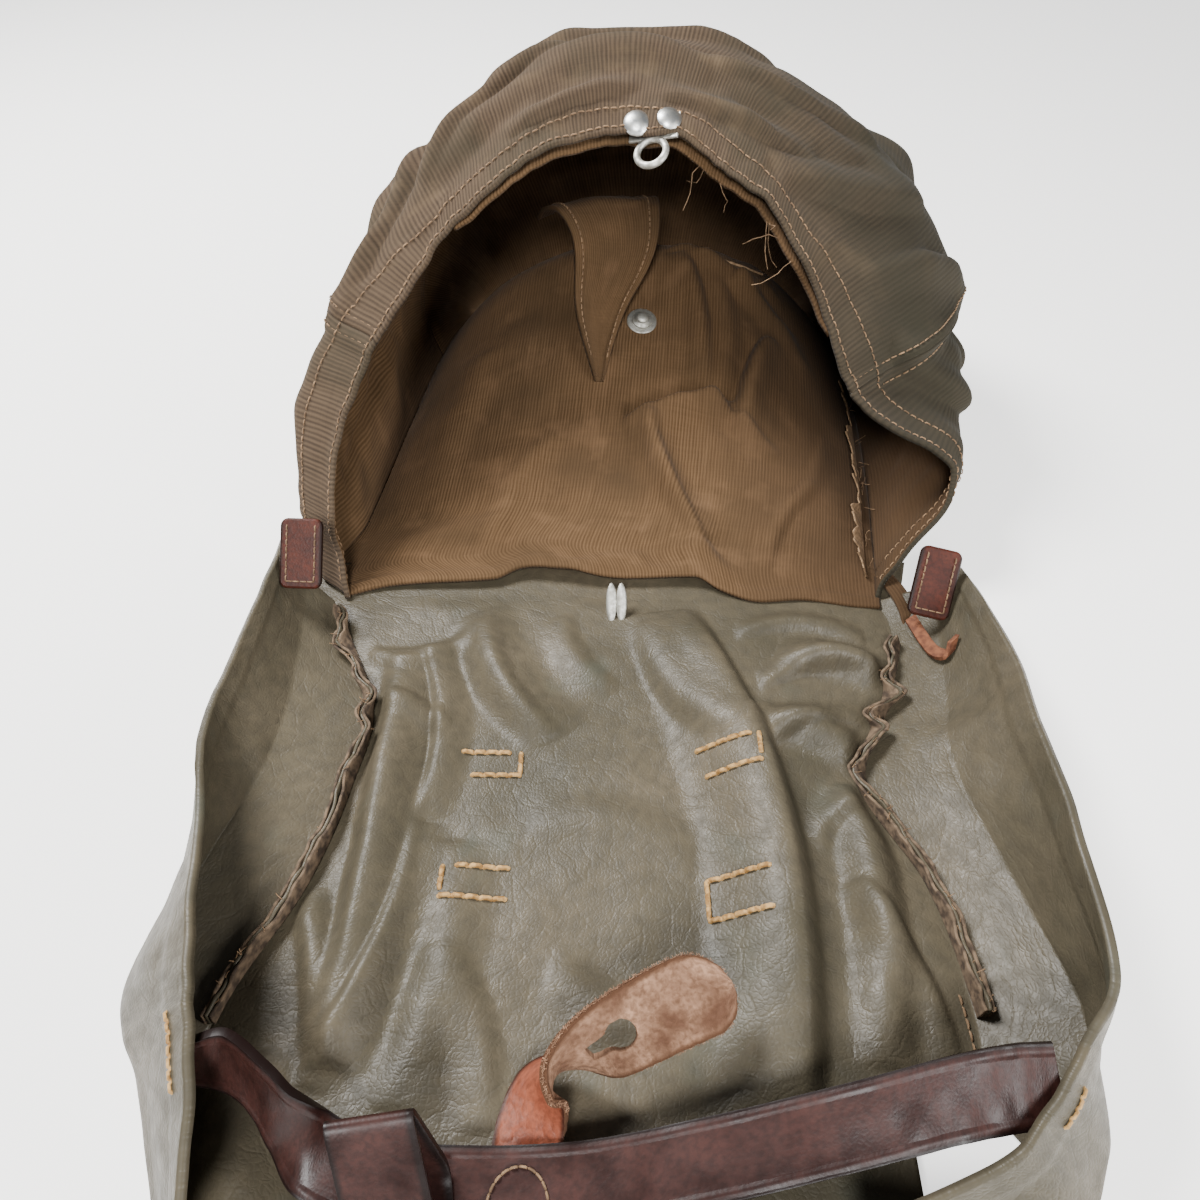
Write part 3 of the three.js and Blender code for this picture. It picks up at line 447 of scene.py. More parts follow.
# %% [markdown]
# ## The back wall, the second layer and the flap
# The back wall is the floor of the opened pouch. Its edges lie flat and its middle is buckled up,
# with sharp creases where the bag was folded. Its front edge wavers where it is sewn to the lid.
# A pointed flap lies on it, and under the front hem hangs the edge of a second layer.

# %% The floor of the pouch
BACK_END = 0.985
HUMP_FLATNESS = 2.6
HUMP = table("at height", (0, 0), (12, 3), (60, 25), (120, 49), (180, 74), (225, 88), (262, 68),
             (290, 22), (305, 2))
HINGE_EDGE = table("at y", (-140, 4), (-112, 12), (-57, 15), (-43, 21), (-25, 20), (5, 15), (51, 15),
                   (64, 8), (82, 1), (108, 2), (135, -3), (147, -4))
DEPTH_STEPS = np.linspace(0, 1, 400)
FOOT_STEPS = curve(ARCHES, "foot_y", DEPTH_STEPS)


def floor_height(x, y):
    at = np.interp(y, FOOT_STEPS, DEPTH_STEPS)
    left, right = curve(ARCH_SIDES, "left_foot", at), curve(ARCH_SIDES, "right_foot", at)
    from_middle = np.clip(np.abs(2 * (x - left) / (right - left) - 1), 0, 1)
    relief = fold_height(BACK_FOLDS, x, y) + fold_height(BACK_CREASES, x, y)
    relief += 1.6 * crumple(x, y, 27, 21) + 0.7 * crumple(x, y, 11, 23)
    relief *= smoothstep(y, 4, 30)
    hump = (curve(HUMP, "height", y) + relief) * (1 - from_middle**HUMP_FLATNESS)
    return canvas_base(y) + CANVAS / 2 + hump


def back_wall(u, v):
    at = BACK_END * v
    y = curve(ARCHES, "foot_y", at)
    left = arch(0 * at, at)[:, 0] - CANVAS
    x = lerp(left, curve(ARCH_SIDES, "right_foot", at), u)
    y = y + (curve(HINGE_EDGE, "y", x) - 1.5) * (1 - smoothstep(y, 1.5, 60))
    return np.stack([x, y, floor_height(x, y)], 1)


cloth("canvas_back", back_wall, (170, 170), (0.3, 0.34), lining, "canvas", ["pouch_back"], CANVAS,
      lambda u, v: v < 0.03)

# %% The second layer and the flap
POCKET_FROM, POCKET_TO, POCKET_DEPTH, POCKET_SLACK = 0.3, 0.8, 0.4, 7
FLAP_ROLL = 9
FLAP = table("at y lift left right", (0, 250, 30, -40, 34), (1, 228, 26, -31, 36), (2, 198, 17, -16, 33),
             (3, 163, 7, -14, 13), (4, 128, 0.6, -3, 2))


def pocket_wall(u, v):
    around, at = lerp(POCKET_FROM, POCKET_TO, u), lerp(0.003, POCKET_DEPTH, v)
    slack = np.sqrt(np.sin(np.pi * np.clip(u, 0, 1))) * (1 - np.clip(v, 0, 1))
    inset = CANVAS_HEM / 2 + CANVAS / 2 + 2 * GAP + POCKET_SLACK * slack
    inset = inset + 0.8 * crumple(u * 260, v * 120, 18, 31) * (1 - v)
    inward = -normal_at(arch, around, np.maximum(at, 0.02))
    return folded_arch(around, at) + inward * inset[:, None]


def inner_flap(u, v):
    stage = v * 4
    x = lerp(curve(FLAP, "left", stage), curve(FLAP, "right", stage), u)
    y = curve(FLAP, "y", stage)
    roll = FLAP_ROLL * (1 - np.clip(u, 0, 1)) ** 3 * np.sin(np.pi * np.clip(v, 0, 1))
    z = floor_height(x, y) + CANVAS + GAP + curve(FLAP, "lift", stage) + roll
    return np.stack([x, y, z + 0.5 * crumple(x, y, 12, 33)], 1)


cloth("canvas_pocket", pocket_wall, (130, 50), (0.25, 0.118), lining, "canvas", ["pocket_wall"], CANVAS,
      lambda u, v: v < 0.16)
cloth("canvas_flap", inner_flap, (44, 60), (0.07, 0.13), lining, "canvas", ["inner_flap"], CANVAS,
      lambda u, v: (u < 0.14) | (u > 0.86))

# %% [markdown]
# ## Thread
# The hems are held by two rows of pale brown cotton, and the seams by one row on each side of the
# ridge. A stitch is a short piece of thread that dives into the cloth at both ends, so each one is
# a bent line given a round section. Rows follow their surface at an even pitch. Cotton is matt and a
# little mottled.

# %% Thread material and rows of stitches
def mottled(name, dark, light, scale, roughness, depth, metallic=0.0):
    made, tree, shader = new_material(name, {"Metallic": metallic})
    spot = add(tree, "TexCoord", "Object")
    tone = add(tree, "TexNoise", 0, {"Vector": spot, "Scale": scale, "Detail": 4.0})
    share = add(tree, "MapRange", 0, {0: tone, 1: 0.38, 2: 0.62})
    colour = add(tree, "Mix", 2, {0: share, 6: linear(dark), 7: linear(light)}, **COLOUR)
    tree.links.new(colour, shader.inputs["Base Color"])
    shine = add(tree, "MapRange", 0, {0: tone, 1: 0.3, 2: 0.7, 3: roughness[0], 4: roughness[1]})
    tree.links.new(shine, shader.inputs["Roughness"])
    relief = add(tree, "Bump", 0, {"Height": tone, "Distance": depth * MM, "Strength": 0.6})
    tree.links.new(relief, shader.inputs["Normal"])
    return made


cotton = mottled("pale brown cotton thread", "#5c4630", "#8a6e51", 300.0, (0.8, 0.9), 0.1)
tape = mottled("pale cotton tape", "#6e563c", "#94785a", 500.0, (0.85, 0.95), 0.3)


def lines_mesh(name, lines, radius, sides, closed=False):
    data = bpy.data.curves.new(name, "CURVE")
    data.dimensions = "3D"
    data.bevel_depth = radius * MM
    data.bevel_resolution = sides
    data.use_fill_caps = True
    for line in lines:
        spline = data.splines.new("POLY")
        spline.points.add(len(line) - 1)
        spline.use_cyclic_u = closed
        places = np.ones((len(line), 4))
        places[:, :3] = np.asarray(line) * MM
        spline.points.foreach_set("co", places.ravel())
    maker = bpy.data.objects.new(name, data)
    mesh = bpy.data.meshes.new_from_object(maker)
    bpy.data.objects.remove(maker)
    mesh.name = name
    mesh.shade_smooth()
    return mesh


def stitch_row(surface, u, v, lift, pitch, length, bow=0.45):
    side = math.copysign(1.0, lift)
    normals = normal_at(surface, u, v) * side
    points = surface(u, v) + normals * abs(lift)
    run = np.concatenate([[0], np.cumsum(np.linalg.norm(np.diff(points, axis=0), axis=1))])
    rows = []
    for start in np.arange(0, run[-1] - length, pitch):
        where = start + length * np.array([0, 0.2, 0.8, 1.0])
        line = np.stack([np.interp(where, run, points[:, k]) for k in range(3)], 1)
        out = np.stack([np.interp(where, run, normals[:, k]) for k in range(3)], 1)
        rows.append(line + out * np.array([[-0.3], [bow], [bow], [-0.3]]))
    return rows


STITCH_PITCH, STITCH_LENGTH, THREAD_RADIUS, SEAM_ROW = 4.2, 3.0, 0.42, 3.4
hem_rows = []
around = np.linspace(0.012, 0.988, 900)
for inset in (4, 18):
    at = np.full(around.shape, inset / DEPTH)
    for lift in (CANVAS_HEM / 2, -CANVAS_HEM / 2):
        hem_rows += stitch_row(folded_arch, around, at, lift, STITCH_PITCH, STITCH_LENGTH)
v = np.linspace(0.03, 0.93, 300)
for u in (0.1, 0.9):
    hem_rows += stitch_row(inner_flap, np.full(v.shape, u), v, -CANVAS, STITCH_PITCH, STITCH_LENGTH)
keep("hem_stitches", lines_mesh("hem_stitches", hem_rows, THREAD_RADIUS, 0), cotton, "canvas")
seam_rows = []
at = np.linspace(0.01, BOTTOM_SEAM, 600)
for seam in (LEFT_SEAM, RIGHT_SEAM):
    for offset in (-SEAM_ROW, SEAM_ROW):
        seam_rows += stitch_row(folded_arch, np.full(at.shape, seam + offset / GIRTH), at,
                                CANVAS / 2, STITCH_PITCH, STITCH_LENGTH)
for offset in (-SEAM_ROW, SEAM_ROW):
    at = np.full(around.shape, BOTTOM_SEAM + offset / DEPTH)
    seam_rows += stitch_row(folded_arch, around, at, CANVAS / 2, STITCH_PITCH, STITCH_LENGTH)
keep("seam_stitches", lines_mesh("seam_stitches", seam_rows, THREAD_RADIUS, 0), cotton, "canvas")
print("stitches on the hem:", len(hem_rows), "and on the seams:", len(seam_rows))

# %% [markdown]
# ## Grained vinyl cloth
# The lid is cloth coated with grey-green vinyl, pressed with a leather grain. It has a satin shine
# broken by the grain, and faint stains. The grain is a net of fine grooves between small cells, drawn
# a little coarser than life so that it shows, over slower ripples.

# %% The vinyl and its brown backing
GRAIN = 0.0019
CREASE = 0.011
vinyl, tree, shader = new_material("grained vinyl cloth", {"IOR": 1.5, "Specular IOR Level": 0.26})
place = add(tree, "UVMap", uv_map="flat")
patch = add(tree, "TexNoise", 0, {"Vector": place, "Scale": 11.0, "Detail": 5.0})
patch_share = add(tree, "MapRange", 0, {0: patch, 1: 0.35, 2: 0.68})
base = add(tree, "Mix", 2, {0: patch_share, 6: linear("#454033"), 7: linear("#5f5646")}, **COLOUR)
fine = add(tree, "TexNoise", 0, {"Vector": place, "Scale": 160.0, "Detail": 5.0})
fine_share = add(tree, "MapRange", 0, {0: fine, 1: 0.35, 2: 0.7, 3: 0.0, 4: 0.5})
mottle = add(tree, "Mix", 2, {0: fine_share, 6: base, 7: linear("#38342a")}, **COLOUR)
stain = add(tree, "TexNoise", 0, {"Vector": place, "Scale": 18.0, "Detail": 3.0})
stain_share = add(tree, "MapRange", 0, {0: stain, 1: 0.6, 2: 0.74, 3: 0.0, 4: 0.5})
stained = add(tree, "Mix", 2, {0: stain_share, 6: mottle, 7: linear("#4b4f46")}, **COLOUR)
tree.links.new(stained, shader.inputs["Base Color"])


def grooves(size, swirl, depth):
    sway = add(tree, "TexNoise", 1, {"Vector": place, "Scale": 0.35 / size, "Detail": 3.0})
    bent = add(tree, "Mix", 2, {0: swirl * size, 6: place, 7: sway}, blend_type="ADD", **COLOUR)
    cells = add(tree, "TexVoronoi", 0, {"Vector": bent, "Scale": 1 / size},
                feature="DISTANCE_TO_EDGE", voronoi_dimensions="2D")
    return add(tree, "MapRange", 0, {0: cells, 1: 0.0, 2: depth})


grain = add(tree, "Mix", 0, {0: 0.6, 2: grooves(GRAIN, 2.0, 0.3), 3: grooves(CREASE, 4.0, 0.12)})
ripples = add(tree, "TexNoise", 0, {"Vector": place, "Scale": 190.0, "Detail": 4.0})
height = add(tree, "Mix", 0, {0: 0.4, 2: grain, 3: ripples})
relief = add(tree, "Bump", 0, {"Height": height, "Distance": 0.42 * MM, "Strength": 0.6})
tree.links.new(relief, shader.inputs["Normal"])
shine = add(tree, "MapRange", 0, {0: fine, 1: 0.3, 2: 0.7, 3: 0.38, 4: 0.52})
tree.links.new(shine, shader.inputs["Roughness"])
backing = mottled("brown backing cloth", "#3a2d21", "#6f5c48", 260.0, (0.85, 0.95), 0.5)
print("made", vinyl.name, "and", backing.name)

# %% [markdown]
# ## The lid
# The main panel lies flat except for long soft folds. Both wings rise from their seams, swell
# outwards and lean in again towards the strap. The wing is drawn as one curve through three points
# in each section: seam, belly and hem. The hem is turned over and sewn, so it is thicker. The near
# right corner of the panel is cut out, so its faces are dropped.

# %% The panel and its wings
LID_LENGTH, NOTCH_FROM, NOTCH_DEPTH, LID_TUCK = 300, 0.88, 54, 32
SEAM_LAP, LID_CREASING = VINYL / 2 + 0.5, 1.3
LID_FOLDS = table(
    FOLD_COLUMNS,
    (42, -6, 70, -246, 19, 20, 12, 40),
    (112, -112, 104, -232, 4, 9, 14, 16),
    (88, -36, 150, -62, 7, 9, 16, 14),
    (70, -74, 126, -104, 6, 8, 14, 14),
    (-98, -38, -98, -232, 2, 13, 22, 11),
    (-64, -8, -20, -86, -8, 6, 22, 18),
    (-62, -140, -72, -246, 4, 5, 22, 16),
    (-136, -232, -108, -296, 0, 12, 28, 20),
)
LID_CREASES = table(
    FOLD_COLUMNS,
    (134, -26, 70, -22, -8, 4.0, 7, 12),
    (136, -48, 78, -56, -8, 4.4, 6, 13),
    (128, -78, 72, -92, -7, 4.4, 6, 14),
    (122, -118, 92, -142, -5, 3.0, 6, 12),
    (22, -16, 58, -92, -8, 3.2, 16, 10),
    (-116, -36, -66, -26, -6, 3.4, 8, 12),
    (-112, -66, -70, -84, 5, 3.0, 7, 12),
    (-86, -30, -78, -130, 8, 4.6, 16, 6),
    (-78, -130, -106, -238, 8, 4.6, 16, 6),
    (-58, -12, -22, -88, -9, 3.6, 9, 18),
    (-20, -10, 6, -60, -6, 2.4, 9, 16),
    (-30, -130, 40, -146, 8, 1.6, 16, 18),
    (-20, -196, 44, -214, -8, 2.0, 14, 18),
    (104, -160, 128, -230, 5, 3.6, 6, 14),
    (-130, -150, -104, -226, 5, 3.8, 12, 7),
    (-62, -186, -40, -252, 6, 2.4, 10, 16),
)
LID_SEAMS = table("at left right", (-32, -160, 168), (-8, -152, 160), (6, -139, 152), (20, -131, 153),
                  (70, -110, 135), (110, -112, 117), (160, -122, 136), (210, -143, 142), (250, -146, 141),
                  (300, -134, 139))
WING_COLUMNS = "at seam_x seam_y belly_x belly_y belly_z hem_x hem_y hem_z"
LEFT_WING = table(
    WING_COLUMNS,
    (0, -141, 2, -154, 8, 14, -165, 20, 32),
    (1, -131, -20, -150, -20, 13, -165, -25, 36),
    (2, -110, -72, -146, -74, 13, -166, -77, 40),
    (3, -112, -110, -149, -112, 14, -163, -108, 46),
    (4, -122, -158, -160, -155, 16, -151, -153, 55),
    (5, -143, -212, -172, -210, 18, -135, -213, 58),
    (6, -147, -245, -157, -241, 18, -127, -240, 58),
    (7, -135, -298, -137, -290, 15, -119, -286, 46),
)
RIGHT_WING = table(
    WING_COLUMNS,
    (0, 146, 2, 166, 0, 13, 183, -2, 30),
    (1, 149, -22, 170, -24, 12, 185, -30, 36),
    (2, 135, -70, 162, -72, 12, 185, -75, 44),
    (3, 117, -110, 156, -108, 13, 180, -112, 50),
    (4, 136, -160, 164, -158, 15, 177, -157, 55),
    (5, 139, -209, 172, -207, 20, 172, -213, 54),
    (6, 138, -243, 169, -238, 24, 149, -243, 54),
    (7, 151, -268, 162, -264, 22, 134, -261, 51),
    (8, 140, -291, 141, -287, 20, 116, -274, 47),
    (9, 82, -306, 80, -302, 18, 76, -287, 41),
)


def lid_panel(u, v):
    along = lerp(-LID_TUCK, LID_LENGTH, v)
    x = lerp(curve(LID_SEAMS, "left", along), curve(LID_SEAMS, "right", along), u)
    relief = fold_height(LID_FOLDS, x, -along) + LID_CREASING * fold_height(LID_CREASES, x, -along)
    relief += 0.9 * (1 + crumple(x, along, 36, 41)) + 0.35 * (1 + crumple(x, along, 13, 43))
    fade = smoothstep(u, 0, 0.05) * smoothstep(1 - u, 0, 0.05) * smoothstep(along, -8, 8)
    return np.stack([x, -along, VINYL / 2 + relief * fade], 1)


def wing(rows, seed):
    def plain(u, v):
        stage = v * rows["at"][-1]
        seam = np.stack([curve(rows, "seam_x", stage), curve(rows, "seam_y", stage), 0 * u + SEAM_LAP], 1)
        belly = np.stack([curve(rows, "belly_" + axis, stage) for axis in "xyz"], 1)
        hem = np.stack([curve(rows, "hem_" + axis, stage) for axis in "xyz"], 1)
        u = u[:, None]
        smooth = seam * (2 * u - 1) * (u - 1) + belly * 4 * u * (1 - u) + hem * u * (2 * u - 1)
        bent = np.where(u < 0.5, lerp(seam, belly, 2 * u), lerp(belly, hem, 2 * u - 1))
        return lerp(smooth, bent, 0.75)

    def wrinkled(u, v):
        relief = 1.5 * crumple(u * 70, v * 300, 30, seed) + 0.6 * crumple(u * 75, v * 300, 11, seed + 1)
        relief += 0.9 * crumple(u * 30, v * 300, 17, seed + 2)
        ease = np.sin(np.pi * np.clip(u, 0, 1) * 0.55)
        return plain(u, v) + normal_at(plain, u, v) * (relief * ease)[:, None]

    return wrinkled


left_wing, right_wing = wing(LEFT_WING, 51), wing(RIGHT_WING, 61)
PANEL_FLAT = (0.285, 0.332)
panel = cloth("vinyl_panel", lid_panel, (186, 190), PANEL_FLAT, vinyl, "vinyl", ["lid_panel"], VINYL)
shape = bmesh.new()
shape.from_mesh(panel.data)
layout = shape.loops.layers.uv["flat"]
notch = []
for face in shape.faces:
    u, v = np.mean([corner[layout].uv for corner in face.loops], axis=0) / PANEL_FLAT
    if u > NOTCH_FROM and LID_LENGTH - lerp(-LID_TUCK, LID_LENGTH, v) < NOTCH_DEPTH:
        notch.append(face)
bmesh.ops.delete(shape, geom=notch, context="FACES")
shape.to_mesh(panel.data)
shape.free()
print("faces cut from the corner of the panel:", len(notch))
cloth("vinyl_left", left_wing, (48, 190), (0.075, 0.3), vinyl, "vinyl", ["lid_wing_left"], VINYL,
      lambda u, v: u > 0.86)
cloth("vinyl_right", right_wing, (48, 210), (0.078, 0.305), vinyl, "vinyl", ["lid_wing_right"], VINYL,
      lambda u, v: u > 0.86)

# %% [markdown]
# ## Raw seam edges
# Along both seams of the lid the cut edges of vinyl and backing stand up and are crumpled, more so
# near the hinge. Three thin wavy strips side by side, each with its own wave, show the layers.

# %% The crumpled layers
SEAM_HEIGHT, SEAM_CLEAR = 8, 1.0
LEFT_CRUMPLE = table("at sway", (8, 3.6), (30, 5.0), (70, 2.4), (150, 1.3), (216, 0.9))
RIGHT_CRUMPLE = table("at sway", (30, 3.4), (60, 5.0), (105, 5.0), (135, 1.8), (214, 0.9))


def seam_layer(side, sways, aside, seed):
    first, last = sways["at"][0], sways["at"][-1]

    def surface(u, v):
        along = lerp(first, last, v)
        wave = 1.3 * crumple(along, 0 * u, 11, 70) + 0.4 * crumple(along, 0 * u, 6, 71)
        wave += 0.25 * crumple(along, 0 * u, 8, 72 + seed)
        ragged = 1 + 0.14 * crumple(along, 0 * u, 5, 80 + seed)
        x = curve(LID_SEAMS, side, along) + aside + curve(sways, "sway", along) * wave * u
        z = VINYL + SEAM_CLEAR + SEAM_HEIGHT * u * ragged
        return np.stack([x, -along, z], 1)

    return surface


for side, sways in (("left", LEFT_CRUMPLE), ("right", RIGHT_CRUMPLE)):
    length = sways["at"][-1] - sways["at"][0]
    for k, (aside, finish) in enumerate(((-1.7, backing), (0.0, vinyl), (1.7, backing))):
        name = f"seam_{side}_{k}"
        mesh, _, _ = grid_mesh(name, seam_layer(side, sways, aside, k), (6, 230), (0.008, length * MM))
        piece = keep(name, mesh, finish, "vinyl", f"seam_edge_{side}")
        thicken(piece, 1.3, 0.4)
    print("crumpled", side, "seam over", length, "mm")

# %% [markdown]
# ## Stitches on the lid
# Four small boxes of thick yellow-tan linen are sewn through the lid. Each box is open on one side. A
# short bar of the same thread holds the hem of each wing near the strap, and a short row of cotton
# runs beside the right seam.

# %% Linen boxes, bars and a row of cotton
linen = mottled("yellow-tan linen thread", "#85602f", "#bd9760", 400.0, (0.75, 0.85), 0.2)
BOXES = table("left right top bottom closed", (-63, -36, -95, -107, 1), (-65, -38, -153, -167, -1),
              (44, 70, -98, -112, 1), (44, 68, -160, -177, -1))


def lid_place(x, y):
    v = (-y + LID_TUCK) / (LID_LENGTH + LID_TUCK)
    left, right = curve(LID_SEAMS, "left", -y), curve(LID_SEAMS, "right", -y)
    return (x - left) / (right - left), v


def polyline(corners, steps=60):
    corners = np.array(corners, float)
    return [lerp(a, b, np.linspace(0, 1, steps)[:, None]) for a, b in zip(corners, corners[1:])]


box_rows = []
for left, right, top, bottom, closed in zip(*BOXES.values()):
    near, far = (left, right) if closed > 0 else (right, left)
    for leg in polyline([(near, top), (far, top), (far, bottom), (near, bottom)]):
        u, v = lid_place(leg[:, 0], leg[:, 1])
        box_rows += stitch_row(lid_panel, u, v, -VINYL / 2, 5.6, 4.9, 0.9)
keep("box_stitches", lines_mesh("box_stitches", box_rows, 1.1, 1), linen, "vinyl")
bar_rows = []
for surface, v in ((left_wing, np.linspace(0.8, 0.9, 60)), (right_wing, np.linspace(0.71, 0.79, 60))):
    bar_rows += stitch_row(surface, np.full(v.shape, 0.9), v, -VINYL, 3.6, 3.3, 0.6)
    bar_rows += stitch_row(surface, np.full(v.shape, 0.9), v, VINYL, 3.6, 3.3, 0.6)
keep("bar_stitches", lines_mesh("bar_stitches", bar_rows, 0.65, 1), linen, "vinyl")
along = np.linspace(205, 250, 80)
u, v = lid_place(curve(LID_SEAMS, "right", along) - 6, -along)
seam_thread = stitch_row(lid_panel, u, v, -VINYL / 2, 4.4, 3.6, 0.5)
keep("lid_seam_stitches", lines_mesh("lid_seam_stitches", seam_thread, 0.5, 0), cotton, "vinyl")
print("box stitches:", len(box_rows), "bar stitches:", len(bar_rows))

# %% [markdown]
# ## Leather
# The strap is polished red-brown leather with dark burnished edges and a pressed line along each
# side. The closing tab has its suede side up, a dull tan nap, and its smooth side is redder. The
# corner tabs are burnished. Leather shows fine pores and crossing wrinkles, so all four share one
# recipe, in which the nap and the depth of the relief differ.

# %% Four leathers
def leather(name, dark, light, edge, roughness, nap, width, depth=0.3):
    made, tree, shader = new_material(name, {"IOR": 1.5, "Specular IOR Level": 0.24})
    place = add(tree, "UVMap", uv_map="flat")
    broad = add(tree, "TexNoise", 0, {"Vector": place, "Scale": 70.0, "Detail": 7.0})
    fine = add(tree, "TexNoise", 0, {"Vector": place, "Scale": 500.0, "Detail": 4.0})
    share = add(tree, "MapRange", 0, {0: broad, 1: 0.35, 2: 0.65})
    colour = add(tree, "Mix", 2, {0: share, 6: linear(dark), 7: linear(light)}, **COLOUR)
    speck_most = 0.2 + 0.4 * nap
    speck = add(tree, "MapRange", 0, {0: fine, 1: 0.4, 2: 0.65, 3: 0.0, 4: speck_most})
    speckled = add(tree, "Mix", 2, {0: speck, 6: colour, 7: linear(edge)}, **COLOUR)
    across = add(tree, "SeparateXYZ", "X", {0: place})
    from_middle = add(tree, "Math", 0, {0: across, 1: width / 2}, operation="SUBTRACT")
    off = add(tree, "Math", 0, {0: from_middle}, operation="ABSOLUTE")
    rim = add(tree, "MapRange", 0, {0: off, 1: width / 2 - 0.0022, 2: width / 2 - 0.0006})
    rimmed = add(tree, "Mix", 2, {0: rim, 6: speckled, 7: linear(edge)}, **COLOUR)
    tree.links.new(rimmed, shader.inputs["Base Color"])
    shine = add(tree, "MapRange", 0, {0: broad, 1: 0.3, 2: 0.7, 3: roughness[0], 4: roughness[1]})
    tree.links.new(shine, shader.inputs["Roughness"])
    wrinkles = add(tree, "TexVoronoi", 0, {"Vector": place, "Scale": 620.0},
                   feature="DISTANCE_TO_EDGE", voronoi_dimensions="2D")
    height = add(tree, "Mix", 0, {0: nap, 2: wrinkles, 3: fine})
    relief = add(tree, "Bump", 0, {"Height": height, "Distance": depth * MM, "Strength": 0.6})
    tree.links.new(relief, shader.inputs["Normal"])
    return made


polished = leather("polished strap leather", "#271512", "#3b201b", "#150a08", (0.34, 0.55), 0.6, 0.025, 0.16)
suede = leather("suede tab leather", "#5a3e2e", "#a07c63", "#4d3322", (0.9, 1.0), 0.95, 0.029, 1.8)
tan = leather("smooth tan leather", "#723a28", "#8c4e38", "#3a1e13", (0.45, 0.6), 0.5, 0.029)
corner = leather("burnished corner leather", "#3a180f", "#502315", "#1c0d09", (0.4, 0.5), 0.6, 0.021, 0.2)
print("leathers:", polished.name, suede.name, tan.name, corner.name)

# %% [markdown]
# ## The cross strap
# A strap is a flat band that follows a route and twists. The table gives points on its middle line
# and the direction of its width at each. It is flat in section, so a grid along the route, thickened
# and with rounded edges, is enough. A shallow groove near each edge is pressed into the top.

# %% The strap
STRAP_LEATHER, STRAP_WIDTH = 3.2, 25
BAND_COLUMNS = "at x y z across_x across_y across_z"
STRAP = table(
    BAND_COLUMNS,
    (0, -137, -241, 42, 0.55, 0.2, 0.81),
    (1, -117, -243, 43, 0.1, 0.4, 0.91),
    (2, -101, -256, 31, 0.4, 0.4, 0.82),
    (3, -88, -265, 21, 0.3, 0.92, 0.25),
    (4, -64, -271, 15, 0, 0.99, 0.12),
    (5, -13, -271, 14, 0, 0.99, 0.1),
    (6, 32, -265, 18, 0, 0.99, 0.12),
    (7, 80, -257, 27, 0, 0.97, 0.24),
    (8, 111, -252, 37, 0, 0.93, 0.36),
    (9, 130, -250, 43, -0.05, 0.88, 0.47),
    (10, 143.6, -250, 46, -0.1, 0.85, 0.52),
)


def band(rows, width):
    def surface(u, v):
        stage = v * rows["at"][-1]
        across = np.stack([curve(rows, "across_" + axis, stage) for axis in "xyz"], 1)
        across /= np.linalg.norm(across, axis=1, keepdims=True)
        mid = np.stack([curve(rows, axis, stage) for axis in "xyz"], 1)
        return mid + across * ((0.5 - u) * width)[:, None]

    return surface


def grooved(surface, width):
    def pressed(u, v):
        from_edge = np.minimum(u, 1 - u) * width
        groove = 0.45 * np.exp(-(((from_edge - 2.4) / 0.7) ** 2))
        ripple = 0.35 * crumple(u * 25, v * 330, 9, 91)
        return surface(u, v) + normal_at(surface, u, v) * (groove + ripple)[:, None]

    return pressed


strap = band(STRAP, STRAP_WIDTH)
mesh, _, _ = grid_mesh("leather_strap", grooved(strap, STRAP_WIDTH), (36, 330), (0.025, 0.33))
strap_piece = keep("leather_strap", mesh, polished, "strap_leather", "cross_strap")
thicken(strap_piece, STRAP_LEATHER, 0.9)
turn = np.linspace(0, np.pi, 60)
arc_u, arc_v = 0.75 - 0.5 * np.sin(turn), 0.475 + 0.0185 * np.cos(turn)
arc = stitch_row(strap, arc_u, arc_v, STRAP_LEATHER / 2 + 0.5, 3.0, 2.4, 0.5)
keep("strap_stitches", lines_mesh("strap_stitches", arc, 0.45, 0), cotton, "strap_leather")
print("strap faces:", len(mesh.polygons), "and stitches:", len(arc))

# %% [markdown]
# ## The keeper
# A loop of the same leather stands on the strap. Its section is a triangle with round corners. We
# draw the section as a closed line, pull it out to the width of the leather and thicken it.

# %% The keeper loop
KEEPER_PLACE, KEEPER_WIDTH, KEEPER_LEATHER, KEEPER_ROUNDING = 0.41, 26, 2.2, 7
KEEPER_YAW, KEEPER_LEAN = math.radians(12), -0.25
KEEPER_CORNERS = np.array([(-38.0, 0.0), (4.0, 0.0), (17.0, 42.0)])


def one(value):
    return np.array([float(value)])


def rounded_loop(corners, rounding, steps):
    line = []
    for k, tip in enumerate(corners):
        before, after = corners[k - 1], corners[(k + 1) % len(corners)]
        into = tip + (before - tip) / np.linalg.norm(before - tip) * rounding
        out_of = tip + (after - tip) / np.linalg.norm(after - tip) * rounding
        for t in np.linspace(0, 1, steps):
            line.append((1 - t) ** 2 * into + 2 * t * (1 - t) * tip + t**2 * out_of)
    return np.array(line + line[:1])


middle = strap(one(0.5), one(KEEPER_PLACE))[0]
ahead = strap(one(0.5), one(KEEPER_PLACE + 1e-3))[0] - middle
ahead /= np.linalg.norm(ahead)
rear = strap(one(0), one(KEEPER_PLACE))[0] - middle
up = np.cross(ahead, rear)
up /= np.linalg.norm(up)
side = np.cross(up, ahead)
facing = [np.linalg.norm(KEEPER_CORNERS[k - 2] - KEEPER_CORNERS[k - 1]) for k in range(3)]
centre = np.average(KEEPER_CORNERS, axis=0, weights=facing)
loop = rounded_loop(lerp(KEEPER_CORNERS, centre, KEEPER_LEATHER / 2 / centre[1]), KEEPER_ROUNDING, 12)
loop_run = np.concatenate([[0], np.cumsum(np.linalg.norm(np.diff(loop, axis=0), axis=1))])
loop_seat = middle + up * (STRAP_LEATHER / 2 + 2 * GAP)


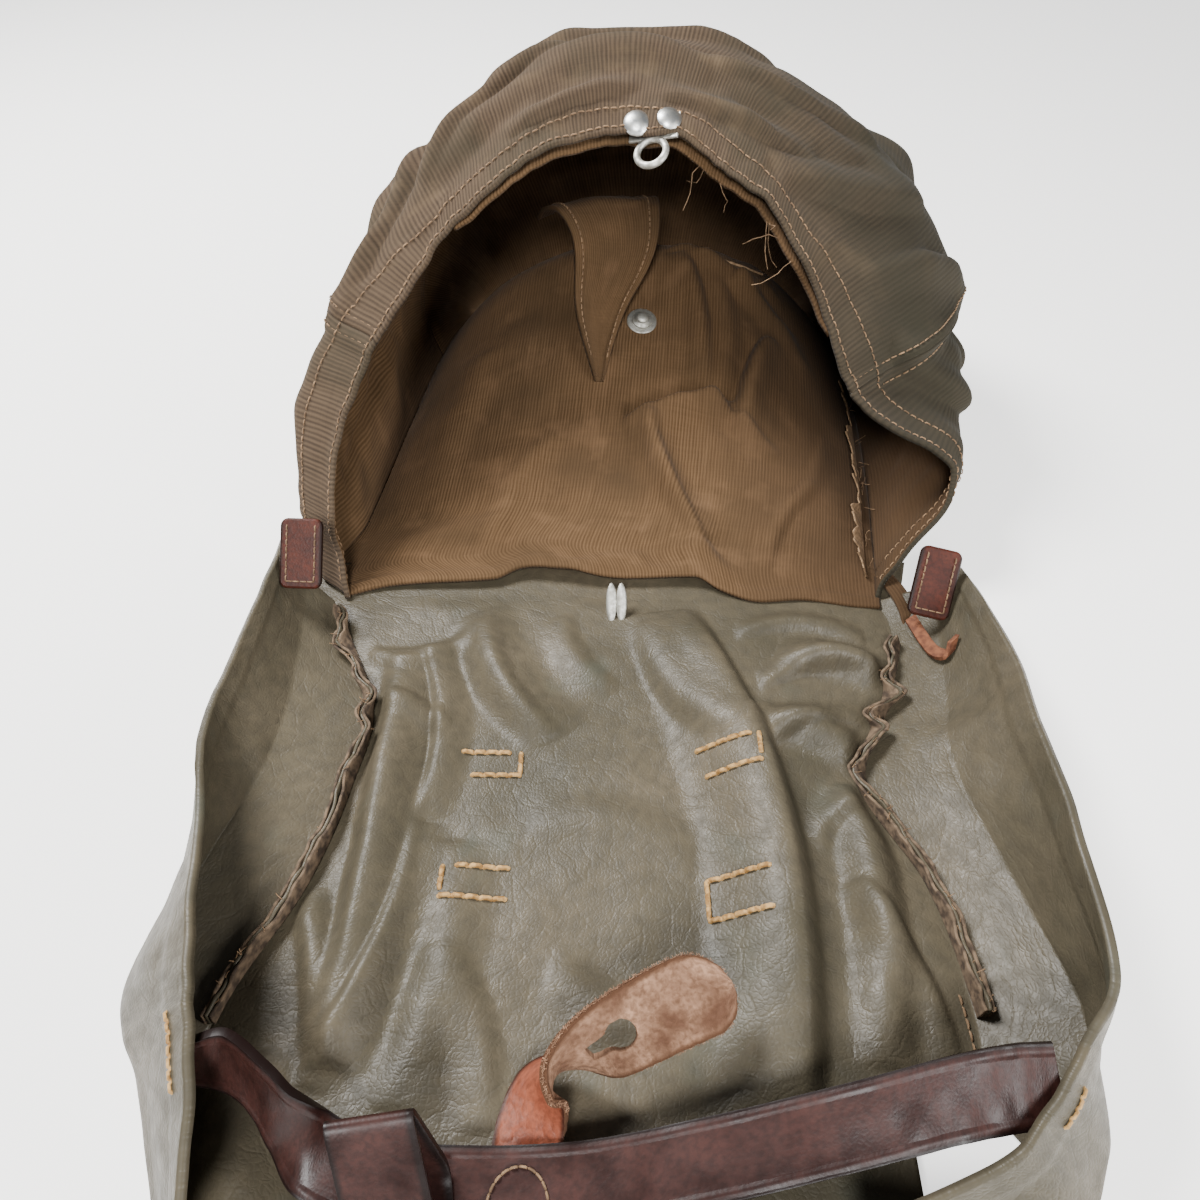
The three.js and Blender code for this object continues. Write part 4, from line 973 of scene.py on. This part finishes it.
def keeper(u, v):
    back = np.interp(v * loop_run[-1], loop_run, loop[:, 0])
    z = np.interp(v * loop_run[-1], loop_run, loop[:, 1])
    width = (u - 0.5) * KEEPER_WIDTH
    x = width * math.cos(KEEPER_YAW) - back * math.sin(KEEPER_YAW) + KEEPER_LEAN * z
    y = width * math.sin(KEEPER_YAW) + back * math.cos(KEEPER_YAW)
    return loop_seat + np.outer(x, ahead) + np.outer(y, side) + np.outer(z, up)


mesh, _, _ = grid_mesh("leather_keeper", keeper, (30, 150), (0.026, loop_run[-1] * MM))
shape = bmesh.new()
shape.from_mesh(mesh)
bmesh.ops.remove_doubles(shape, verts=shape.verts, dist=1e-6)
bmesh.ops.recalc_face_normals(shape, faces=shape.faces)
shape.to_mesh(mesh)
shape.free()
keeper_piece = keep("leather_keeper", mesh, polished, "strap_leather", "keeper_loop")
thicken(keeper_piece, KEEPER_LEATHER, 0.6)
print("keeper loop is", round(loop_run[-1], 1), "mm around")

# %% [markdown]
# ## The closing tab
# A tongue of leather comes out from under the strap, twists over and shows its rough suede side. It
# is a band like the strap, with its own table. We lay out the flat tongue, cut the keyhole by
# dropping the faces inside it and moving the cut edge onto the outline, and only then bend it. The
# smooth side is the second material.

# %% The keyhole tab
TAB_LEATHER, TAB_ROOT_HALF, TAB_HALF, TAB_FLARE = 2.6, 10, 14.5, 3
KEYHOLE_PLACE, KEYHOLE_RADIUS, SLIT_HALF, SLIT_LENGTH = 5.3, 5.6, 3.4, 12
TAB = table(
    BAND_COLUMNS,
    (0, -27, -280, 9.9, 1, 0, 0),
    (1, -25, -262, 9.8, 1, 0, 0),
    (2, -21, -244.6, 14.8, 0.74, -0.4, 0.54),
    (3, -17.5, -240.5, 21.5, 0.09, -0.69, 0.72),
    (4, -11, -237.5, 27, -0.45, -0.2, 0.85),
    (5, 2, -232, 31, -0.5, 0.45, 0.74),
    (6, 19, -223.5, 32.5, -0.48, 0.66, 0.58),
    (7, 34, -217, 33, -0.47, 0.75, 0.46),
    (8, 46, -212.5, 32.5, -0.47, 0.78, 0.42),
)
TAB_STAGES = np.linspace(0, 8, 400)
tab_middle = np.stack([curve(TAB, axis, TAB_STAGES) for axis in "xyz"], 1)
TAB_RUN = np.concatenate([[0], np.cumsum(np.linalg.norm(np.diff(tab_middle, axis=0), axis=1))])
TAB_LENGTH = TAB_RUN[-1]
KEYHOLE_Y = np.interp(KEYHOLE_PLACE, TAB_STAGES, TAB_RUN)


def tab_flat(u, v):
    y = v * TAB_LENGTH
    to_tip = np.clip((TAB_LENGTH - y) / TAB_HALF, 0.002, 1)
    flare = smoothstep(np.interp(y, TAB_RUN, TAB_STAGES), 0, TAB_FLARE)
    half = lerp(TAB_ROOT_HALF, TAB_HALF, flare) * np.sqrt(1 - (1 - to_tip) ** 2)
    return np.stack([(2 * u - 1) * half, y, 0 * y], 1)


def bent_tab(points):
    x, y = points[:, 0], points[:, 1]
    stage = np.interp(y, TAB_RUN, TAB_STAGES)
    across = np.stack([curve(TAB, "across_" + axis, stage) for axis in "xyz"], 1)
    across /= np.linalg.norm(across, axis=1, keepdims=True)
    bent = np.stack([curve(TAB, axis, stage) for axis in "xyz"], 1) - across * x[:, None]
    bent[:, 2] += 0.35 * crumple(x, y, 7, 93) + 0.25 * crumple(x, y, 1.6, 95)
    return bent


def keyhole_distance(x, y):
    circle = np.hypot(x, y - KEYHOLE_Y) - KEYHOLE_RADIUS
    slit_x = np.abs(x) - SLIT_HALF
    slit_y = np.abs(y - (KEYHOLE_Y - SLIT_LENGTH / 2)) - SLIT_LENGTH / 2
    return np.minimum(circle, np.maximum(slit_x, slit_y))


mesh, _, _ = grid_mesh("leather_tab", tab_flat, (48, 170), (0.029, TAB_LENGTH * MM))
shape = bmesh.new()
shape.from_mesh(mesh)
inside = []
for face in shape.faces:
    spot = face.calc_center_median() / MM
    if keyhole_distance(spot.x, spot.y) < 0:
        inside.append(face)
bmesh.ops.delete(shape, geom=inside, context="FACES")
for vert in shape.verts:
    x, y = vert.co.x / MM, vert.co.y / MM
    distance = keyhole_distance(x, y)
    if vert.is_boundary and abs(distance) < 1.2:
        slope_x = (keyhole_distance(x + 0.01, y) - distance) / 0.01
        slope_y = (keyhole_distance(x, y + 0.01) - distance) / 0.01
        vert.co.x -= distance * slope_x * MM
        vert.co.y -= distance * slope_y * MM
shape.to_mesh(mesh)
shape.free()
flat_points = np.array([vert.co for vert in mesh.vertices]) / MM
mesh.vertices.foreach_set("co", (bent_tab(flat_points) * MM).ravel())
tab_piece = keep("leather_tab", mesh, suede, "tab_leather", "closure_tab")
mesh.materials.append(tan)
wall = thicken(tab_piece, TAB_LEATHER, 0.5)
wall.material_offset = 1
print("tab faces:", len(mesh.polygons), "after cutting", len(inside))

# %% [markdown]
# ## Corner tabs, hook and staple
# Two short leather tabs sit on the wings at the hinge. The right one carries a rusty hook, bent
# from flat iron. Two prongs of a staple stick out of the hinge seam. Worn zinc is pale and dull, old
# chrome is brighter but hazy, and rusted iron is a rough orange brown with little shine.

# %% Metals
zinc = mottled("worn zinc plate", "#d2d1ca", "#a5a298", 350.0, (0.5, 0.7), 0.15, 1.0)
chrome = mottled("dulled chrome", "#dcdedd", "#bdbcb6", 350.0, (0.3, 0.5), 0.1, 1.0)
rust = mottled("rusted iron", "#5c3522", "#84543a", 350.0, (0.75, 0.95), 0.3, 0.3)
print("metals:", zinc.name, chrome.name, rust.name)

# %% Tabs, hook and staple
def frame_on(surface, u, v, lift):
    step = 1e-3
    across = surface(one(u + step), one(v))[0] - surface(one(u - step), one(v))[0]
    across /= np.linalg.norm(across)
    out = normal_at(surface, one(u), one(v))[0]
    origin = (surface(one(u), one(v))[0] + out * lift) * MM
    columns = [Vector(across), Vector(np.cross(out, across)), Vector(out), Vector(origin)]
    turned = Matrix.Identity(4)
    for k, part in enumerate(columns):
        for row in range(3):
            turned[row][k] = part[row]
    return turned


CORNER_TAB, CORNER_WIDTH, CORNER_LENGTH, CORNER_ROUNDING = 4, 21, 35, 4
CORNER_TILT = math.radians(46)
CORNERS = {"left": ((-149, 0.5, 38), math.radians(-2)), "right": ((166, -12.1, 29.8), math.radians(-13))}


def corner_plate(name, place, node):
    shape = bmesh.new()
    bmesh.ops.create_grid(shape, x_segments=1, y_segments=1, size=0.5)
    bmesh.ops.scale(shape, vec=(CORNER_WIDTH * MM, CORNER_LENGTH * MM, 1), verts=shape.verts)
    bmesh.ops.bevel(shape, geom=shape.verts[:], offset=CORNER_ROUNDING * MM, segments=6, profile=0.5,
                    affect="VERTICES", material=-1)
    layout = shape.loops.layers.uv.new("flat")
    for face in shape.faces:
        for corner_loop in face.loops:
            spot = corner_loop.vert.co
            corner_loop[layout].uv = (spot.x + CORNER_WIDTH * MM / 2, spot.y + CORNER_LENGTH * MM / 2)
    bmesh.ops.transform(shape, matrix=place, verts=shape.verts)
    piece = keep(name, as_mesh(shape, name), corner, "strap_leather", node)
    thicken(piece, CORNER_TAB - 0.6, 1.1)
    return piece


def on_plate(seat):
    turn, origin = np.array(seat.to_3x3()), np.array(seat.translation) / MM
    return lambda x, y: np.stack([x, y, 0 * x], 1) @ turn.T + origin


tab_rows = []
for side_name, (place, lean) in CORNERS.items():
    seat = Matrix.Translation(Vector(place) * MM) @ Matrix.Rotation(CORNER_TILT, 4, "X")
    seat = seat @ Matrix.Rotation(lean, 4, "Z") @ Matrix.Translation((0, 0, CORNER_TAB / 2 * MM))
    corner_plate("leather_corner_" + side_name, seat, "corner_tab_" + side_name)
    for leg in polyline([(-7, 14), (-7, -14), (7, -14), (7, 14)]):
        tab_rows += stitch_row(on_plate(seat), leg[:, 0], leg[:, 1], CORNER_TAB / 2 - 0.2, 3.6, 2.8, 0.4)
keep("corner_stitches", lines_mesh("corner_stitches", tab_rows, 0.4, 0), cotton, "strap_leather")
HOOK_WIDTH, HOOK_IRON = 6, 2.4
HOOK = table(
    BAND_COLUMNS,
    (0, 157, -20, 12.4, 0.85, 0.45, 0.3),
    (1, 160, -34, 12.8, 0.85, 0.45, 0.3),
    (2, 163, -44, 14.2, 0.75, 0.6, 0.3),
    (3, 167.4, -48, 17.6, 0.75, 0.6, 0.3),
    (4, 170, -43, 23, 0.75, 0.6, 0.3),
)
mesh, _, _ = grid_mesh("iron_hook", band(HOOK, HOOK_WIDTH), (4, 60), (0.006, 0.05))
thicken(keep("iron_hook", mesh, rust, "rusty_iron", "hook"), HOOK_IRON, 0.6)
STAPLE_X, STAPLE_WIRE, STAPLE_LENGTH, STAPLE_TILT = 8.5, 5.6, 21, math.radians(42)
prongs = bmesh.new()
for offset in (-2.6, 2.6):
    size = Matrix.Diagonal((STAPLE_WIRE / 2 * MM, STAPLE_LENGTH / 2 * MM, 1.6 * MM, 1))
    spot = Vector((STAPLE_X + offset, -6, 9)) * MM
    lean = Matrix.Translation(spot) @ Matrix.Rotation(STAPLE_TILT, 4, "X")
    bmesh.ops.create_uvsphere(prongs, u_segments=20, v_segments=14, radius=1, matrix=lean @ size)
mesh = as_mesh(prongs, "wire_staple")
mesh.shade_smooth()
keep("wire_staple", mesh, zinc, "zinc", "staple")
print("tab stitches:", len(tab_rows))

# %% [markdown]
# ## Eye, rivets and press stud
# Under the front hem sits a wire eye on a plate, fixed by two domed rivets. The press stud belongs
# to the flap. Turned parts are a profile spun round its axis, the eye is a bent wire.

# %% Turned parts and the eye
def turned_piece(name, profile, place, finish, slot, node):
    shape = bmesh.new()
    verts = [shape.verts.new((radius * MM, 0, height * MM)) for radius, height in profile]
    edges = [shape.edges.new(pair) for pair in zip(verts, verts[1:])]
    bmesh.ops.spin(shape, geom=verts + edges, cent=(0, 0, 0), axis=(0, 0, 1), angle=2 * math.pi,
                   steps=40, use_merge=True)
    bmesh.ops.remove_doubles(shape, verts=shape.verts, dist=1e-7)
    bmesh.ops.recalc_face_normals(shape, faces=shape.faces)
    bmesh.ops.transform(shape, matrix=place, verts=shape.verts)
    mesh = as_mesh(shape, name)
    mesh.shade_smooth()
    return keep(name, mesh, finish, slot, node)


EYE_AROUND, EYE_RADIUS, EYE_WIRE, RIVET_ASIDE = 0.528, 7.6, 3.6, 9.5
EYE_PLATE, EYE_PLATE_BACK = (26, 15, 1.6), 7
RIVET = [(0, 3.4), (1.6, 3.3), (3.2, 2.9), (4.6, 2.3), (5.7, 1.6), (6.5, 0.8), (6.8, 0.4), (6.8, 0), (0, 0)]
STUD = [(0, 4.3), (1.6, 4.3), (2.6, 4.0), (3.5, 3.3), (3.7, 2.6), (3.5, 1.8), (5.6, 1.4), (6, 1.1), (6, 0),
        (0, 0)]
WASHER = [(0, 0.8), (8.4, 0.8), (9, 0.5), (9, 0), (0, 0)]
for side, inset, node in ((-1, 6.8, "rivet_left"), (1, 11, "rivet_right")):
    seat = frame_on(folded_arch, EYE_AROUND + side * RIVET_ASIDE / GIRTH, inset / DEPTH, CANVAS_HEM / 2)
    turned_piece("dome_" + node, RIVET, seat, chrome, "chrome", node)
eye_seat = frame_on(folded_arch, EYE_AROUND, 0.002, -(CANVAS_HEM / 2 + GAP + EYE_WIRE / 2))
ring_turn = np.linspace(0, 2 * np.pi, 48, endpoint=False)
ring_flat = EYE_RADIUS * np.stack([np.cos(ring_turn), np.sin(ring_turn) - 1, 0 * ring_turn], 1)
ring = np.array([list(eye_seat @ Vector(spot * MM)) for spot in ring_flat]) / MM
keep("wire_eye", lines_mesh("wire_eye", [ring], EYE_WIRE / 2, 4, True), zinc, "zinc", "eye_plate")
plate = bmesh.new()
bmesh.ops.create_cube(plate, size=1)
bmesh.ops.scale(plate, vec=Vector(EYE_PLATE) * MM, verts=plate.verts)
bmesh.ops.translate(plate, vec=(0, EYE_PLATE_BACK * MM, 0), verts=plate.verts)
bmesh.ops.bevel(plate, geom=plate.edges[:], offset=0.4 * MM, segments=2, profile=0.5, affect="EDGES",
                material=-1)
bmesh.ops.transform(plate, matrix=eye_seat, verts=plate.verts)
keep("eye_backplate", as_mesh(plate, "eye_backplate"), zinc, "zinc", "eye_plate")


def floor_patch(x, y):
    return np.stack([x, y, floor_height(x, y)], 1)


def floor_frame(x, y, lift):
    here = floor_patch(one(x), one(y))[0]
    across = floor_patch(one(x + 4), one(y))[0] - floor_patch(one(x - 4), one(y))[0]
    along = floor_patch(one(x), one(y + 4))[0] - floor_patch(one(x), one(y - 4))[0]
    out = np.cross(across, along)
    turned = Vector(out).to_track_quat("Z", "Y").to_matrix().to_4x4()
    turned.translation = Vector((here + out / np.linalg.norm(out) * lift) * MM)
    return turned


STUD_X, STUD_Y, WASHER_HEIGHT = 25, 169, 0.8
washer_seat = floor_frame(STUD_X, STUD_Y, CANVAS / 2)
stud_seat = floor_frame(STUD_X, STUD_Y, CANVAS / 2 + WASHER_HEIGHT)
turned_piece("stud_washer", WASHER, washer_seat, zinc, "zinc", "snap_washer")
turned_piece("press_stud", STUD, stud_seat, zinc, "zinc", "snap_stud")
print("eye ring has", len(ring), "points")

# %% [markdown]
# ## Loose threads
# An old bag frays. Short ends curl out of the raw seams and the hem, and a few long threads hang
# inside the mouth. Each is a thin random walk from a point on an edge. Along the right side of the
# floor runs a pale ragged tape, sewn over the seam, and a thin welt crosses the far right corner.
# The cut edge of the suede is fuzzy, and a canvas loop end lies at the right foot of the pouch.

# %% Tape, welt and frayed ends
def frays(points, count, reach, seed, lean=0.6):
    random = np.random.default_rng(seed)
    lines = []
    for _ in range(count):
        here = points[random.integers(len(points))].copy()
        heading = random.normal(0, 1, 3) + np.array([0, 0, lean])
        line = [here]
        for _ in range(5):
            heading = heading + random.normal(0, 0.6, 3)
            here = here + heading / np.linalg.norm(heading) * reach / 5
            here[2] = max(here[2], 0.6)
            line.append(here)
        lines.append(np.array(line))
    return lines


def seam_tape(u, v):
    at = lerp(0.07, 0.6, v)
    along = v * 180
    wave = 2.5 * crumple(along, 0 * u, 12, 111) + 1.2 * crumple(along, 0 * u, 5, 113)
    ragged = 1 + 0.35 * crumple(along, 0 * u, 3, 115)
    x = curve(ARCH_SIDES, "right_foot", at) - 6 - (5 * u + wave * u) * ragged
    y = curve(ARCHES, "foot_y", at)
    z = floor_height(x, y) + 1.5 + 6 * u * ragged
    return np.stack([x, y, z], 1)


mesh, _, _ = grid_mesh("seam_tape", seam_tape, (6, 160), (0.01, 0.18))
thicken(keep("seam_tape", mesh, tape, "canvas"), 0.9, 0.2)
WELT = [(44, 256), (58, 236), (72, 222), (88, 222), (104, 227)]
welt_line = np.concatenate(polyline(WELT, 12))
welt_points = np.stack([*welt_line.T, floor_height(*welt_line.T) + CANVAS / 2 + 0.3], 1)
keep("pouch_welt", lines_mesh("pouch_welt", [welt_points], 0.9, 1), tape, "canvas")
v = np.linspace(0, 1, 300)
fray_lines = frays(seam_layer("left", LEFT_CRUMPLE, 0, 0)(0 * v + 1, v), 40, 3.5, 101)
fray_lines += frays(seam_layer("right", RIGHT_CRUMPLE, 0, 0)(0 * v + 1, v), 40, 3.5, 103)
fray_lines += frays(pocket_wall(np.linspace(0.55, 0.9, 300), 0 * v), 9, 24, 105, -1.2)
fray_lines += frays(back_wall(0 * v + 0.985, 0.1 + 0.5 * v), 40, 9, 107)
keep("loose_threads", lines_mesh("loose_threads", fray_lines, 0.22, 0), cotton, "canvas")
print("loose threads:", len(fray_lines))
rim_v = np.linspace(0.3, 1, 500)
rim = np.concatenate([bent_tab(tab_flat(0 * rim_v, rim_v)), bent_tab(tab_flat(0 * rim_v + 1, rim_v))])
fibres = mottled("suede fibres", "#6e4f3b", "#a98468", 500.0, (0.9, 1.0), 0.1)
fuzz = frays(rim, 1600, 1.3, 109)
keep("suede_fuzz", lines_mesh("suede_fuzz", fuzz, 0.08, 0), fibres, "tab_leather")
LOOP_END = table(BAND_COLUMNS, (0, 152, 16, 7, 1, 0.1, 0.1), (1, 156, 4, 8, 1, 0.1, 0.1),
                 (2, 159, -8, 7, 1, 0.15, 0.1), (3, 160, -17, 4, 1, 0.15, 0.1))
mesh, _, _ = grid_mesh("canvas_loop", band(LOOP_END, 9), (8, 40), (0.009, 0.034))
thicken(keep("canvas_loop", mesh, lining, "canvas"), 2.4, 0.6)

# %% [markdown]
# ## Floor, light and camera
# The picture was taken on a plain pale ground, from the front and above. A broad light from the left
# and behind draws the folds and gives the vinyl its sheen. A smaller one beside the camera reaches
# under the hood and leaves its far corner dark, and a weak low one from the right opens the shadow of
# the left wing. The ground glows a little, like a light table, so it stays pale.

# %% Stage
ground = bmesh.new()
bmesh.ops.create_grid(ground, x_segments=1, y_segments=1, size=3)
bmesh.ops.translate(ground, vec=(0, 0, -0.0004), verts=ground.verts)
mesh = as_mesh(ground, "ground")
glow = {"Emission Color": linear("#ffffff"), "Emission Strength": 1.25}
paper, _, _ = new_material("pale paper", {"Base Color": linear("#eceae6"), "Roughness": 0.95, **glow})
mesh.materials.append(paper)
floor = bpy.data.objects.new("ground", mesh)
bpy.context.scene.collection.objects.link(floor)


def area_light(name, place, size, power):
    data = bpy.data.lights.new(name, "AREA")
    data.shape = "DISK"
    data.size = size
    data.energy = power
    lamp = bpy.data.objects.new(name, data)
    lamp.location = place
    lamp.rotation_euler = (Vector((0, 0, 0.05)) - Vector(place)).to_track_quat("-Z", "Y").to_euler()
    bpy.context.scene.collection.objects.link(lamp)


area_light("key", (-0.7, 0.5, 1.15), 0.55, 46)
area_light("front", (-0.1, -1.0, 0.95), 0.35, 22)
area_light("fill", (0.8, -0.5, 0.35), 0.5, 10)
world = bpy.data.worlds.new("studio")
bpy.context.scene.world = world
world.use_nodes = True
world.node_tree.nodes["Background"].inputs["Color"].default_value = linear("#f2f4f7")
world.node_tree.nodes["Background"].inputs["Strength"].default_value = 0.18
lens = bpy.data.cameras.new("camera")
lens.sensor_width = 36
lens.lens = 28.53
CAMERA_ABOVE, CAMERA_AWAY, AIM_HEIGHT = math.radians(46), 0.5, 0.005
camera = bpy.data.objects.new("camera", lens)
back, rise = CAMERA_AWAY * math.cos(CAMERA_ABOVE), CAMERA_AWAY * math.sin(CAMERA_ABOVE)
camera.location = (0, -back, AIM_HEIGHT + rise)
camera.rotation_euler = (math.pi / 2 - CAMERA_ABOVE, 0, 0)
bpy.context.scene.collection.objects.link(camera)
bpy.context.scene.camera = camera
print("camera looks down at", round(math.degrees(CAMERA_ABOVE)), "degrees")
